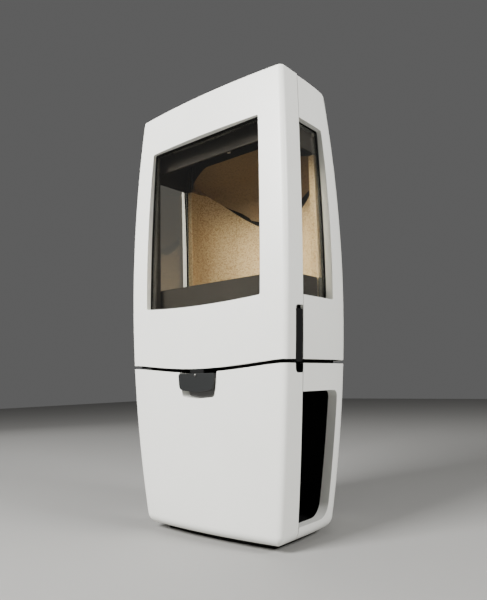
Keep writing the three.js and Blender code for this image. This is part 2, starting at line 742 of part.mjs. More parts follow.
const HEARTH_BASE = { bottom: AIR_BOX.top + AIR, top: 396 };
const HEARTH = { bottom: 468.3, top: 480 };
const FIREBOX_TOP = { bottom: 925.3, top: 932 };
const FRAME_Y = [-124, -114];
const FRAME_TOP = 925;

function hearthBase() {
  return barrel({ inset: WALL + 0.4, from: HEARTH_BASE.bottom, to: HEARTH_BASE.top })
    .subtract(inFrontOf(() => FRAME_Y[1] + AIR))
    .subtract(recessClearance());
}

const ASH_BOX = { half: 135, rearY: 80, wall: 5 };
const ASH_PAN = { half: 120, frontY: -110, rearY: 60, stand: 6, height: 50, wall: 2, gripHalf: 35 };

// Box under the grate, open to the front, that the ash pan stands in.
function ashBox() {
  const { half, rearY, wall } = ASH_BOX;
  const low = HEARTH_BASE.top + AIR;
  const room = box([wall - half, half - wall], [-200, rearY - wall], [low + wall, 500]);
  return box([-half, half], [FRAME_Y[1] + 0.4, rearY], [low, HEARTH.bottom - AIR]).subtract(room);
}

function ashPan() {
  const { half, frontY, rearY, stand, height, wall, gripHalf } = ASH_PAN;
  const low = HEARTH_BASE.top + stand;
  const top = low + height;
  const outer = box([-half, half], [frontY, rearY], [low, top]);
  const inner = box([wall - half, half - wall], [frontY + wall, rearY - wall], [low + wall, top + 30]);
  const grip = prismX(rectangle(frontY - 11, frontY + 1, low + 36, low + 46, 3), -gripHalf, gripHalf);
  return outer.add(grip).subtract(inner);
}

const GRATE = { radius: 62, y: 0, ledge: 4, ledgeWidth: 6, slotPitch: 14, slotHalf: 3.5, border: 12 };

// Floor of the firebox, with a stepped hole that the grate lies in.
function hearthPlate() {
  const { radius, y, ledge, ledgeWidth } = GRATE;
  return barrel({ inset: 16, from: HEARTH.bottom, to: HEARTH.top })
    .subtract(inFrontOf(() => FRAME_Y[1] + AIR))
    .subtract(recessClearance())
    .subtract(cylinderZ(radius + 0.5, 0, y, HEARTH.bottom + ledge, HEARTH.top + 5, 32))
    .subtract(cylinderZ(radius - ledgeWidth, 0, y, HEARTH.bottom - 5, HEARTH.top + 5, 32));
}

function grate() {
  const { radius, y, ledge, slotPitch, slotHalf, border } = GRATE;
  let plate = cylinderZ(radius, 0, y, HEARTH.bottom + ledge + AIR, HEARTH.top, 32);
  for (let i = -3; i <= 3; i++) {
    const x = i * slotPitch;
    const half = Math.sqrt((radius - border) ** 2 - x ** 2);
    const gap = slot(x - slotHalf, x + slotHalf, y - half, y + half);
    plate = plate.subtract(prismZ(gap, HEARTH.bottom, HEARTH.top + 5));
  }
  return plate;
}

const FRONT_FRAME = {
  half: 208,
  fire: { half: 186, bottom: 486, top: 905 },
  ash: { half: 126, bottom: 400, top: 462 },
  latch: { x: [189, 206.6], z: [438, 471] },
};

// Flat cast frame that the door closes on, open to the firebox, the ash box and the latch.
function frontFrame() {
  const { half, fire, ash, latch } = FRONT_FRAME;
  const fireOpening = prismY(rectangle(-fire.half, fire.half, fire.bottom, fire.top, 3), -200, -100);
  const ashOpening = prismY(rectangle(-ash.half, ash.half, ash.bottom, ash.top, 4), -200, -100);
  return barrel({ inset: 18, from: HEARTH_BASE.bottom, to: FRAME_TOP })
    .intersect(box([-half, half], FRAME_Y, [HEARTH_BASE.bottom, FRAME_TOP]))
    .subtract(fireOpening)
    .subtract(ashOpening)
    .subtract(box(latch.x, [-200, -100], latch.z))
    .subtract(recessClearance());
}

const RETAINER = {
  top: 556,
  half: 199.5,
  rearY: -4,
  innerHalf: 190,
  innerY: -106,
  frontHalf: 184,
  frontBottom: 487,
};

// Low wall round the hearth that holds the logs off the glass. Its front fills the frame's opening.
function logRetainer() {
  const { top, half, rearY, innerHalf, innerY, frontHalf, frontBottom } = RETAINER;
  const z0 = HEARTH.top + AIR;
  const outer = box([-half, half], [FRAME_Y[1] + AIR, rearY], [z0, top]);
  const inner = box([-innerHalf, innerHalf], [innerY, 20], [z0 - 1, top + 1]);
  const front = box([-frontHalf, frontHalf], [FRAME_Y[0] + 0.5, innerY + 1], [frontBottom, top]);
  return outer.subtract(inner).add(front);
}

function sideWindowRear(z) {
  return SIDE_WINDOW.rear - SIDE_WINDOW.rearBow * (z - SIDE_WINDOW.rearZ) ** 2;
}

// Outline of the side window, made larger all round by a margin.
function sideWindow(grow = 0, frontY = -300) {
  const { bottom, top, radius } = SIDE_WINDOW;
  const bends = [590, 670, 750, 820];
  return roundedPolygon([
    [frontY, bottom - grow],
    [sideWindowRear(bottom) + grow, bottom - grow, radius],
    ...bends.map((z) => [sideWindowRear(z) + grow, z]),
    [sideWindowRear(top) + grow, top + grow, radius],
    [frontY, top + grow],
  ]);
}

const SIDE_FRAME = { thickness: 4.6, frontBar: 7.7, rearY: 18 };

// Sheet frame that the side glass lies against.
function sideFrameRight() {
  const outerX = GLASS_SIDE.outerX - GLASS_SIDE.thickness - AIR;
  const frontY = FRAME_Y[1] + AIR;
  const outline = rectangle(frontY, SIDE_FRAME.rearY, HEARTH.top + AIR, FRAME_TOP);
  const plate = prismX(outline, outerX - SIDE_FRAME.thickness, outerX);
  const opening = sideWindow(0, frontY + SIDE_FRAME.frontBar);
  return plate.subtract(prismX(opening, 150, 250));
}

function sideGlassRight() {
  const outline = sideWindow(GLASS_HOLD, FRAME_Y[1] + 0.4);
  return prismX(outline, GLASS_SIDE.outerX - GLASS_SIDE.thickness, GLASS_SIDE.outerX);
}

// Half ellipse towards the back with straight flanks, as used by the liners and the casing.
function vault(halfX, backY, frontY, centreY = 25) {
  const shape = new THREE.Shape();
  shape.moveTo(-halfX, frontY);
  shape.lineTo(halfX, frontY);
  shape.lineTo(halfX, centreY);
  shape.absellipse(0, centreY, halfX, backY - centreY, 0, Math.PI, false);
  shape.lineTo(-halfX, frontY);
  return shape;
}

function vaultSolid(halfX, backY, frontY, z0, z1) {
  const geometry = new THREE.ExtrudeGeometry(vault(halfX, backY, frontY), {
    depth: z1 - z0,
    bevelEnabled: false,
    curveSegments: 20,
  });
  return solid(geometry.translate(0, 0, z0));
}

const LINER = { innerHalf: 186, outerHalf: 200.4, innerBack: 130, outerBack: 144, endY: 0, top: 905 };

const CASING = { sheet: 4, air: 0.4, frontY: 12.4 };

// Sheet mantle round the back of the lining, behind the side frames.
function fireboxCasing() {
  const z0 = HEARTH.top + AIR;
  const { outerHalf, outerBack } = LINER;
  const { sheet, air, frontY } = CASING;
  const outer = vaultSolid(outerHalf + sheet, outerBack + sheet, frontY, z0, FRAME_TOP);
  const inner = vaultSolid(outerHalf + air, outerBack + air, -50, z0 - 5, FRAME_TOP + 5);
  return outer.subtract(inner);
}

function linerRing() {
  const z0 = HEARTH.top + AIR;
  const outer = vaultSolid(LINER.outerHalf, LINER.outerBack, LINER.endY, z0, LINER.top);
  const inner = vaultSolid(LINER.innerHalf, LINER.innerBack, -50, z0 - 5, LINER.top + 5);
  return outer.subtract(inner);
}

const LINER_JOINT_X = 118;

function backLiner() {
  return linerRing().intersect(box([-LINER_JOINT_X, LINER_JOINT_X], [0, 200], [400, LINER.top]));
}

// The side liner is stepped at its upper front corner, where the baffle's cheek stands on it.
function sideLinerRight() {
  return linerRing()
    .intersect(box([LINER_JOINT_X + 0.4, 300], [-50, 200], [400, LINER.top]))
    .subtract(box([100, 300], [-50, LINER_STEP.y], [LINER_STEP.z, LINER.top + 10]));
}

// The baffle is a moulded board that curves down from the glass to the back. Its under and upper side
// run from front to back, its front corners are swept back, and its cheeks stand on the side liners.
const BAFFLE = {
  under: [
    [-47, 875],
    [0, 861],
    [40, 847],
    [60, 838],
    [80, 823],
    [94, 809],
    [105, 786],
    [110, 771],
    [113, 755],
    [116, 742],
  ],
  upper: [
    [116, 822],
    [94, 841],
    [60, 861],
    [0, 880],
    [-47, 894],
  ],
  cheekTop: 880,
  sideGap: 0.8,
  frontHalf: 132,
  rearHalf: 140,
  rearY: 94,
  cheekHalf: 176,
};
const LINER_STEP = { y: 57, z: 842 };

function bafflePlan() {
  const { under, frontHalf, rearHalf, rearY, sideGap } = BAFFLE;
  const half = LINER.innerHalf - sideGap;
  const frontY = under[0][0];
  const backY = under[under.length - 1][0];
  const middleY = THREE.MathUtils.lerp(rearY, backY, 0.8);
  return roundedPolygon(
    [
      [-frontHalf, frontY, 45],
      [frontHalf, frontY, 45],
      [half, -1, 10],
      [half, 60, 0],
      [rearHalf, rearY, 0],
      [rearHalf / 2, middleY, 0],
      [0, backY, 0],
      [-rearHalf / 2, middleY, 0],
      [-rearHalf, rearY, 0],
      [-half, 60, 0],
      [-half, -1, 10],
    ],
    4,
  );
}

function baffle() {
  const { under, upper, sideGap, cheekHalf, cheekTop } = BAFFLE;
  const half = LINER.innerHalf - sideGap;
  const board = prismX(polygon([...under, ...upper]), -300, 300)
    .intersect(prismZ(bafflePlan(), 700, 950))
    .intersect(vaultSolid(half, LINER.innerBack - sideGap, -80, 700, 950));
  const outerHalf = LINER.outerHalf;
  const cheeks = box([-outerHalf, outerHalf], [0, LINER_STEP.y - AIR], [LINER_STEP.z + AIR, cheekTop])
    .intersect(vaultSolid(LINER.outerHalf, LINER.outerBack, -50, 700, 950))
    .subtract(box([-cheekHalf, cheekHalf], [-10, 100], [0, 1000]));
  return board.add(cheeks);
}

const DEFLECTOR = {
  frontBottom: 860,
  limbBottom: 842,
  top: 904,
  half: 204,
  thickness: 5,
  rear: -1.5,
  flangeHalf: 187,
  tongueRear: 11.8,
  shelfRear: -75,
};

// Air wash deflector: a dark skirt under the top of the front and side glass. It is deeper along the
// sides. Each limb has a flange before the end of the lining, and a tongue that runs on beside it.
function airwashDeflector() {
  const { frontBottom, limbBottom, top, half, thickness, rear } = DEFLECTOR;
  const { flangeHalf, tongueRear, shelfRear } = DEFLECTOR;
  const frontY = FRAME_Y[1] + 1;
  const inner = half - thickness;
  const skirt = box([-half, half], [frontY, tongueRear], [limbBottom, top]);
  const room = box([-inner, inner], [frontY + thickness, rear - thickness], [0, 1000]);
  const wayToBaffle = box([-flangeHalf, flangeHalf], [frontY + thickness, 50], [0, 1000]);
  const underFront = box([-inner, inner], [frontY - 5, -60], [0, frontBottom]);
  const besideLining = box([-LINER.outerHalf - 0.5, LINER.outerHalf + 0.5], [rear, 50], [0, 1000]);
  const shelf = box([-half + 1, half - 1], [frontY + 1, shelfRear], [top - thickness, top]);
  return skirt.subtract(room).subtract(wayToBaffle).subtract(underFront).subtract(besideLining).add(shelf);
}

function fireboxTop() {
  return barrel({ inset: 14, from: FIREBOX_TOP.bottom, to: FIREBOX_TOP.top })
    .subtract(inFrontOf(() => FRAME_Y[0]))
    .subtract(cylinderZ(FLUE.bore, 0, FLUE.y, 900, 950, 36));
}

const COLLAR = { flangeThickness: 8, shoulderZ: 980, neckZ: 994 };

// Flanged ring on the firebox top, drawn in a little towards its rim, that the pipe stands in.
function flueCollar() {
  const { bore, outer, flange, top, y } = FLUE;
  const { flangeThickness, shoulderZ, neckZ } = COLLAR;
  const z0 = FIREBOX_TOP.top + AIR;
  const profile = [
    [bore, z0],
    [flange, z0],
    [flange, z0 + flangeThickness],
    [outer + 6, z0 + flangeThickness + 4],
    [outer + 4, shoulderZ],
    [outer, neckZ],
    [outer, top - 2],
    [outer - 1.5, top],
    [bore, top],
  ];
  return lathed(profile, 0, y);
}

// ---------------------------------------------------------------- upper body

const TOP_PLATE = { bottom: 980, top: 992, clear: 1.2 };
const LEDGE = { height: 13.7, width: 12 };
const TOP_VENT = { pitch: 34, half: 12, frontY: 142, rearY: 150 };

// Side casting over the shadow gap, with a rim round its window and a ledge for the top plate.
function upperSideRight() {
  const outer = barrel({ from: GAP.top - 23, to: SIDE_TOP, rollTop: 3 });
  const shell = outer.subtract(barrel({ inset: WALL, from: 300, to: 1040 }));
  const rim = outer.intersect(prismX(sideWindow(WALL), GLASS_SIDE.outerX + 1, 300));
  const ledgeTop = TOP_PLATE.bottom - AIR;
  const ledge = barrel({ inset: 1, from: ledgeTop - LEDGE.height, to: ledgeTop })
    .subtract(barrel({ inset: WALL + LEDGE.width, from: 900, to: 1040 }));
  return shell
    .add(rim)
    .add(ledge)
    .subtract(inFrontOf((z) => seamY(z) + SEAM))
    .intersect(box([BACK_JOINT_X, 300], [-300, 300], [GAP.top, SIDE_TOP + 1]))
    .subtract(prismX(sideWindow(), 150, 300));
}

// The left casting is the right one mirrored, let down by a few millimetres under the hinge ear.
function upperSideLeft() {
  const earPocket = box([-260, -150], [-300, HINGE.y + HINGE.eyeRadius + 8], [TOP_PLATE.top, 1100]);
  return mirrored(upperSideRight()).subtract(earPocket)
    .subtract(cylinderZ(HINGE.pinRadius + AIR, HINGE.x, HINGE.y, 940, 1010));
}

function topPlate() {
  let plate = barrel({ inset: WALL + TOP_PLATE.clear, from: TOP_PLATE.bottom, to: TOP_PLATE.top })
    .subtract(inFrontOf((z) => seamY(DOOR_TOP) + SEAM))
    .subtract(cylinderZ(FLUE.outer + 6, 0, FLUE.y, 950, 1010, 36))
    .subtract(cylinderZ(HINGE.pinRadius + AIR, HINGE.x, HINGE.y, 940, 1010));
  const { pitch, half, frontY, rearY } = TOP_VENT;
  for (let i = -2; i <= 2; i++) {
    plate = plate.subtract(prismZ(slot(i * pitch - half, i * pitch + half, frontY, rearY), 970, 1000));
  }
  return plate;
}

const OUTLET_COVER = { z: 860, radius: 70, bossRadius: 50, discY: 4, bossY: 6 };

// Round cover that closes the rear flue outlet.
function rearOutletCover() {
  const { z, radius, bossRadius, discY, bossY } = OUTLET_COVER;
  const disc = cylinderY(radius, 0, z, REAR.backY - COVER.sunk + AIR, REAR.backY + discY, 36);
  const boss = cylinderY(bossRadius, 0, z, REAR.backY + discY - 1, REAR.backY + bossY, 36);
  return disc.add(boss);
}

// ---------------------------------------------------------------- the stove

const stove = new THREE.Group();

function addPiece(name, finish, manifold) {
  const mesh = new THREE.Mesh(geometryOf(manifold), new THREE.MeshStandardMaterial(FINISH[finish]));
  mesh.name = name;
  stove.add(mesh);
}

addPiece("base_plate", "castIron", basePlate());
addPiece("lower_front_panel", "enamel", lowerFrontPanel());
addPiece("lower_side_right", "enamel", lowerSideRight());
addPiece("lower_side_left", "enamel", mirrored(lowerSideRight()));
addPiece("lower_back_cover", "blackSteel", backCover(36, 358));
addPiece("log_store_liner", "blackSteel", logStoreLiner());
addPiece("support_plate", "blackSteel", supportPlate());
addPiece("air_box", "castIron", airBox());
addPiece("air_control_plate", "greySteel", airControlPlate());
addPiece("air_slide_arm", "blackSteel", airSlideArm());
addPiece("air_paddle", "greySteel", airPaddle());
addPiece("air_paddle_screw", "brightSteel", airPaddleScrew());

addPiece("hearth_base", "castIron", hearthBase());
addPiece("ash_box", "blackSteel", ashBox());
addPiece("ash_pan", "blackSteel", ashPan());
addPiece("hearth_plate", "castIron", hearthPlate());
addPiece("grate", "castIron", grate());
addPiece("front_frame", "castIron", frontFrame());
addPiece("log_retainer", "castIron", logRetainer());
addPiece("side_frame_right", "blackSteel", sideFrameRight());
addPiece("side_frame_left", "blackSteel", mirrored(sideFrameRight()));
addPiece("side_glass_right", "glass", sideGlassRight());
addPiece("side_glass_left", "glass", mirrored(sideGlassRight()));
addPiece("firebox_casing", "blackSteel", fireboxCasing());
addPiece("back_liner", "vermiculite", backLiner());
addPiece("side_liner_right", "vermiculite", sideLinerRight());
addPiece("side_liner_left", "vermiculite", mirrored(sideLinerRight()));
addPiece("baffle", "vermiculite", baffle());
addPiece("airwash_deflector", "castIron", airwashDeflector());
addPiece("firebox_top", "castIron", fireboxTop());
addPiece("flue_collar", "castIron", flueCollar());

addPiece("upper_side_right", "enamel", upperSideRight());
addPiece("upper_side_left", "enamel", upperSideLeft());
addPiece("top_plate", "castIron", topPlate());
addPiece("rear_heat_shield", "blackSteel", backCover(384, 962));
addPiece("rear_outlet_cover", "castIron", rearOutletCover());
addPiece("hinge_pin_lower", "brightSteel", hingePinLower());
addPiece("hinge_pin_upper", "brightSteel", hingePinUpper());

addPiece("door_casting", "enamel", doorCasting());
addPiece("door_glass", "glass", doorGlass());
addPiece("door_glass_frame", "blackSteel", doorGlassFrame());
addPiece("door_inner_frame", "castIron", doorInnerFrame());
addPiece("door_rope_seal", "rope", doorRope());
addPiece("hinge_arm_lower", "blackSteel", hingeArmLower());
addPiece("handle_pin", "brightSteel", handlePin());
addPiece("door_handle", "blackSteel", doorHandle());
addPiece("latch_tongue", "brightSteel", latchTongue());

export default stove;
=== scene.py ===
"""A wood stove in white enamelled cast iron, with glass on three sides and an open log store.

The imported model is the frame. Over it come the finished surfaces: doubly curved castings with rolled
edges, plates and boards with their real edge breaks, fasteners, and the finish of each.
"""

import json
import math

import bmesh
import bpy
from bpy.props import FloatProperty, FloatVectorProperty, PointerProperty
from mathutils import Matrix, Vector


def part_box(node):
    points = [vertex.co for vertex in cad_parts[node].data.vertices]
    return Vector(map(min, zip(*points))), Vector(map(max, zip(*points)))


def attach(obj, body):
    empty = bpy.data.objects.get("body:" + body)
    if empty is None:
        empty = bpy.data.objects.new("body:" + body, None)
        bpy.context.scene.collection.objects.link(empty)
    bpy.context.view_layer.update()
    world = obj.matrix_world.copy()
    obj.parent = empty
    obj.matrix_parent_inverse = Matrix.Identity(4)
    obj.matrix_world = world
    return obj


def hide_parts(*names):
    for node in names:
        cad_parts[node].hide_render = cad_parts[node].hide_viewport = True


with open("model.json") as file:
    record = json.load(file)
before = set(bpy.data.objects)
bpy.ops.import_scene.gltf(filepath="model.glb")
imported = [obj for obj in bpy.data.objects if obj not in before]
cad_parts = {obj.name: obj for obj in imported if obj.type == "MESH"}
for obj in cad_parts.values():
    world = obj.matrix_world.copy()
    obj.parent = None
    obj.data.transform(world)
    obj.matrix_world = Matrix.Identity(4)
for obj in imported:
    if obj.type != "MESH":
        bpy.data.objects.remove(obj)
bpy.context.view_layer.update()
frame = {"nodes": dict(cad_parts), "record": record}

bl_info = {
    "name": "Wood stove with three-sided glass",
    "version": (1, 0, 0),
    "blender": (4, 5, 0),
    "location": "3D View > Sidebar > Stove",
    "description": "Builds the finished surfaces of an enamelled cast-iron wood stove",
    "category": "Add Mesh",
}

MM = 0.001


# ------------------------------------------------------------------ sizes, mostly in millimetres

# FALL_BELOW, FALL_ABOVE, FRONT_LEAN, REAR_BELOW, REAR_ABOVE and SIDE_WINDOW_REAR_BOW say how fast a
# parabola falls away, in millimetres per square millimetre.
DOOR_TOP, DOOR_ROLL, DOOR_INNER_DROP, DOOR_FLANGE = 1000, 4, 11, 7
SIDE_TOP, SIDE_ROLL = 997, 3
SHELL_BOTTOM = 12
SOLE_ROLL, SOLE_INSET, SOLE_INSIDE = 22, 34, 30
WALL = 8
WIDEST_HALF, WIDEST_Z, FALL_BELOW, FALL_ABOVE = 234.4, 620, 1.24e-4, 0.96e-4
FRONT_Y, FRONT_Z, FRONT_LEAN, FRONT_BOW, CORNER_RADIUS = -170.6, 430, 8.2e-5, 10.5, 13
LEAST_FILLET = 3
REAR_Y, REAR_Z, REAR_BELOW, REAR_ABOVE, REAR_RADIUS = 51.5, 510, 0.9e-4, 1.2e-4, 50
BACK_Y = 175
FLANK_RADIUS, FLANK_LENGTH = 700, 79
REAR_TURN = math.radians(33)
BACK_FLAT_SHARE = 0.38
BACK_JOINT_X = 70
WRAP_DEPTH = 59
SEAM = 1.8
GAP_BOTTOM, GAP_TOP, GAP_DIP, GAP_DIP_HALF = 365, 373, 13, 215

WINDOW_TOP, WINDOW_BOTTOM, WINDOW_DIP, WINDOW_MARGIN, WINDOW_RADIUS = 895.6, 504, 7, 62, 4
GLASS_Y_BOTTOM, GLASS_Y_TOP = -161.5, -148
SIDE_WINDOW_TOP, SIDE_WINDOW_BOTTOM = 892.3, 503.7
SIDE_WINDOW_REAR, SIDE_WINDOW_REAR_Z, SIDE_WINDOW_REAR_BOW = 9.6, 600, 1.3e-4
SIDE_LIP_X, SIDE_FRONT = 214.5, -112
NICHE_TOP, NICHE_BOTTOM, NICHE_REAR_TOP, NICHE_REAR_BOTTOM = 308.5, 41, 31, 15
NICHE_TOP_RADIUS, NICHE_BOTTOM_RADIUS, NICHE_WALL = 17, 30, 7
REVEAL = 22
FAR = 999.0  # stands for a point that lies beyond every rounded corner

HANDLE_FRONT, HANDLE_REAR = -137.5, -112.2
RECESS_TOP, RECESS_DEPTH, RECESS_WALL, RECESS_RADIUS = 482, 15.5, 6, 10
RECESS_LOW, RECESS_REAR = 330, -95
FINGER_SLOT_BOTTOM, FINGER_SLOT_TOP, FINGER_SLOT_LEAN, FINGER_SLOT_REACH = 346, 385, 2, 6
FINGER_SLOT_FRONT_RADIUS, FINGER_SLOT_REAR_RADIUS, FINGER_SLOT_X = 10, 8, (200, 250)
NOTCH_TOP_HALF, NOTCH_BOTTOM_HALF, NOTCH_BOTTOM, NOTCH_RADIUS = 62, 47, 296, 9
NOTCH_SAG, NOTCH_BELLY = 4, 90
NOTCH_DEPTH, NOTCH_RIM, NOTCH_STEEP, NOTCH_TURN = 34, 8, 4, 0.94
FLANGE_SLOT = ((-35, 35), (-168, -100), (339, 400))
HINGE_X, HINGE_Y, EAR_RADIUS, PIN_HOLE_RADIUS = -203, -62, 16.8, 4.4
EAR_LOW, EAR_HIGH, EAR_FRONT = DOOR_TOP - 6.7, DOOR_TOP - 0.3, -110
EAR_ROOM = 26
TOP_PLATE_TOP = 992
CLEAR = 0.3  # air left between two pieces that don't touch

# The baffle's rail is shallow across the front and grows deeper between two distances from the middle.
# Its deeper sides are painted shade for the dark under the deflector.
RAIL_TOP, RAIL_FRONT_LOW, RAIL_SIDE_LOW, RAIL_FALL_FROM, RAIL_FALL_TO = 893.5, 874, 842, 82, 148
RAIL_END, RAIL_CORNER, RAIL_SWEEP = (185.8, -2.3), (132.6, -48.6), 45
RAIL_THICKNESS, RAIL_STEP = 1.4, 6

# A black sheet in the finger slot, painted shade for its dark hollow: its distance from the slot's
# walls, and its own sizes.
SHADE_SHEET_GAP, SHADE_SHEET_THICKNESS, SHADE_SHEET_INSETS = 0.1, 0.9, (15, 0.3)
SHADE_SHEET_TOP, SHADE_SHEET_MIDDLE = 364.5, 355
SHADE_SHEET_FRONT_RADIUS, SHADE_SHEET_REAR_RADIUS = 9, 7

# Plates between the log retainer and the side frames.
RETAINER_END_X, RETAINER_END_Y, RETAINER_END_Z = (201, 204.2), (-3.6, 12), (480.6, 555.6)

# Tape round the glasses: its width at each edge of a window, and its two faces. The wide band along
# the front window's top is partly painted shade for the dark gap above the deflector.
TAPE_SIDE, TAPE_TOP, TAPE_BOTTOM, TAPE_RADIUS = 3.2, 5.5, 1.5, 3
TAPE_OUT, TAPE_SUNK = 1.1, 0.25
SIDE_TAPE_FRONT, SIDE_TAPE_REAR, SIDE_TAPE_ENDS = 2, 4.6, 2.6
SIDE_TAPE_FACE, SIDE_TAPE_BACK = SIDE_LIP_X - 0.1, SIDE_LIP_X - 0.95

# A bolt head's measures as shares of its radius, but the recess's depth as a share of its height.
HEAD_HEIGHT, HEAD_RIM, HEAD_RECESS, SHANK_RADIUS, HEAD_BEVEL = 0.7, 0.45, 0.55, 0.55, 0.18

# Where the bolts sit on the deflector, the back covers and the door's frame.
DEFLECTOR_BOLT = (-7.7, 886.0)
HANGING_BOLT, HANGING_BOLT_BELOW, HANGING_SHANK = (16.5, -79.0), 5, 22.5
COVER_BOLT_X, COVER_BOLT_MARGIN = 60, 9
FRAME_BOLT_X, FRAME_BOLT_LOW, FRAME_BOLT_HIGH = 178, 560, 840

# The lower edge of the painted shade that darkens the slit behind the baffle's edge on the lining: its
# height in the middle, its slope and how that grows to the sides, the depth that it begins at, and the
# height over which it fades in. In metres.
SLIT_SHADE_MIDDLE, SLIT_SHADE_RISE, SLIT_SHADE_BEND, SLIT_SHADE_FRONT, SLIT_SHADE_FADE = 0.7225, 0.28, 2.277, 0.060, 0.002

# The camera at the photograph's angle, in metres and degrees, its lens in millimetres, and the room.
CAMERA_PLACE = (0.861, -1.072, 0.335)
CAMERA_YAW, CAMERA_PITCH, CAMERA_ROLL = 39.24, 7.95, -1.31
LENS, SENSOR = 34.1, 36
STUDIO_GREY, STUDIO_STRENGTH = 0xC8C8C8, 0.20

MERGE_DISTANCE = 1e-6  # metres
FLAT_ANGLE = math.radians(0.4)  # faces of a CAD node that differ by less are one flat face
SHARP_ANGLE = math.radians(35)  # edges sharper than this are broken, and gentler ones shade smoothly

# Patterns that a user has no need to set: how many clouds or lathe marks there are to the metre.
ENAMEL_CLOUDS, PAINT_CLOUDS, SHEET_CLOUDS, FLOOR_CLOUDS = 9.0, 22.0, 35.0, 1.2
LATHE_MARKS = (40.0, 40.0, 900.0)
ROPE_STRANDS = 110.0  # a wave texture draws just over 3 bands for each, so a strand is 2.9 mm wide


# ------------------------------------------------------------------ the barrel


def lerp(a, b, share):
    """The value that lies a share of the way from a to b."""
    return a + (b - a) * share


def fall(z, at, below, above):
    """How far a parabola falls away at a height, at its own rate on each side of its middle."""
    return (below if z < at else above) * (z - at) ** 2


def half_width(z):
    return WIDEST_HALF - fall(z, WIDEST_Z, FALL_BELOW, FALL_ABOVE)


def front_corner_y(z):
    return FRONT_Y + FRONT_LEAN * (z - FRONT_Z) ** 2


def rear_corner_y(z):
    return REAR_Y - fall(z, REAR_Z, REAR_BELOW, REAR_ABOVE)


def seam_y(z):
    """Depth at which the front casting's wrap ends and the side casting begins."""
    return front_corner_y(z) + WRAP_DEPTH


def glass_y(z):
    return lerp(GLASS_Y_BOTTOM, GLASS_Y_TOP, (z - WINDOW_BOTTOM) / (WINDOW_TOP - WINDOW_BOTTOM))


def side_window_rear(z):
    return SIDE_WINDOW_REAR - SIDE_WINDOW_REAR_BOW * (z - SIDE_WINDOW_REAR_Z) ** 2


def gap_dip(x):
    """How far the shadow gap hangs down at a distance from the middle."""
    return GAP_DIP * max(0.0, 1 - (x / GAP_DIP_HALF) ** 2) ** 1.5


def front_point(column, z, inset=0.0, grow=0.0, undercut=0.0):
    """Point of the front casting's surface in plan: column is (side, zone, share). inset takes it into
    the wall, grow widens the window, and undercut ends the wrap short of the seam."""
    side, zone, share = column
    fillet = max(CORNER_RADIUS - inset, LEAST_FILLET)
    fillet_x = half_width(z) - inset - fillet
    front_y = front_corner_y(z) + inset
    if zone == "wrap":
        return side * (half_width(z) - inset), lerp(seam_y(z) - undercut, front_y + fillet, share)
    if zone == "fillet":
        angle = share * math.pi / 2
        return side * (fillet_x + fillet * math.cos(angle)), front_y + fillet - fillet * math.sin(angle)
    window_half = half_width(z) - WINDOW_MARGIN + grow
    x = lerp(fillet_x, window_half, share) if zone == "stile" else window_half * (1 - share)
    return side * x, front_y - FRONT_BOW * (1 - (x / fillet_x) ** 2)


def flank_point(column, z, inset=0.0):
    """Point of a side casting's surface in plan: column is (zone, y) or (zone, share)."""
    zone, value = column
    half = half_width(z)
    curve_start = rear_corner_y(z) - FLANK_LENGTH
    hub_x = half - FLANK_RADIUS
    if zone == "flank":
        if value <= curve_start:
            return half - inset, value
        return hub_x + math.sqrt((FLANK_RADIUS - inset) ** 2 - (value - curve_start) ** 2), value
    turn = math.asin(FLANK_LENGTH / FLANK_RADIUS)
    reach = FLANK_RADIUS - REAR_RADIUS
    corner_x = hub_x + reach * math.cos(turn)
    corner_y = curve_start + reach * math.sin(turn)
    angle = lerp(turn, REAR_TURN, value if zone == "corner" else 1)
    radius = REAR_RADIUS - inset
    last = (corner_x + radius * math.cos(angle), corner_y + radius * math.sin(angle))
    if zone == "corner":
        return last
    back_y = BACK_Y - inset
    control = (last[0] - math.tan(REAR_TURN) * (back_y - last[1]), back_y)
    flat = (half * BACK_FLAT_SHARE, back_y)
    if zone == "back":
        rest = 1 - value
        return tuple(rest**2 * last[k] + 2 * rest * value * control[k] + value**2 * flat[k] for k in (0, 1))
    return lerp(flat[0], BACK_JOINT_X, value), back_y


def rounded_corner(distance, radius, along_rear):
    """How far an opening's edge point moves (back, in) to round a corner it lies this far from."""
    if distance >= radius:
        return 0.0, 0.0
    turn = math.radians(45) * (1 - distance / radius if along_rear else 1 + distance / radius)
    return radius * math.cos(turn) - radius, radius - radius * math.sin(turn)


# ------------------------------------------------------------------ sizes and colours for the user


def linear(hex_colour):
    """sRGB hex to linear red, green and blue."""
    channels = [((hex_colour >> shift) & 255) / 255 for shift in (16, 8, 0)]
    return tuple(c / 12.92 if c <= 0.04045 else ((c + 0.055) / 1.055) ** 2.4 for c in channels)


def length(name, description, default):
    return FloatProperty(
        name=name, description=description, default=default, unit="LENGTH", min=0.0, precision=5
    )


def colour(name, description, hex_colour):
    default = linear(hex_colour)
    return FloatVectorProperty(
        name=name, description=description, default=default, subtype="COLOR", size=3, min=0, max=1
    )


class StoveSizes(bpy.types.PropertyGroup):
    casting_edge: length("Casting edge", "Radius ground on the edges of the enamelled castings", 0.0014)
    plate_edge: length("Plate edge", "Radius on the edges of cast plates", 0.0009)
    sheet_edge: length("Sheet edge", "Radius on the edges of sheet steel", 0.0004)
    board_edge: length("Board edge", "Broken edge of the vermiculite boards", 0.0022)
    rope_round: length("Rope round", "Radius of the pressed rope seal", 0.0026)
    bolt_radius: length("Bolt head", "Radius of the small bolt heads", 0.0042)
    peel: length("Orange peel", "Width of the ripples in the fired enamel", 0.0035)
    grain: length("Cast grain", "Width of the sand grains in painted cast iron", 0.0016)
    flake: length("Vermiculite flake", "Width of one flake in the pressed lining", 0.0028)
    floor: length("Floor", "Side of the square floor", 14.0)


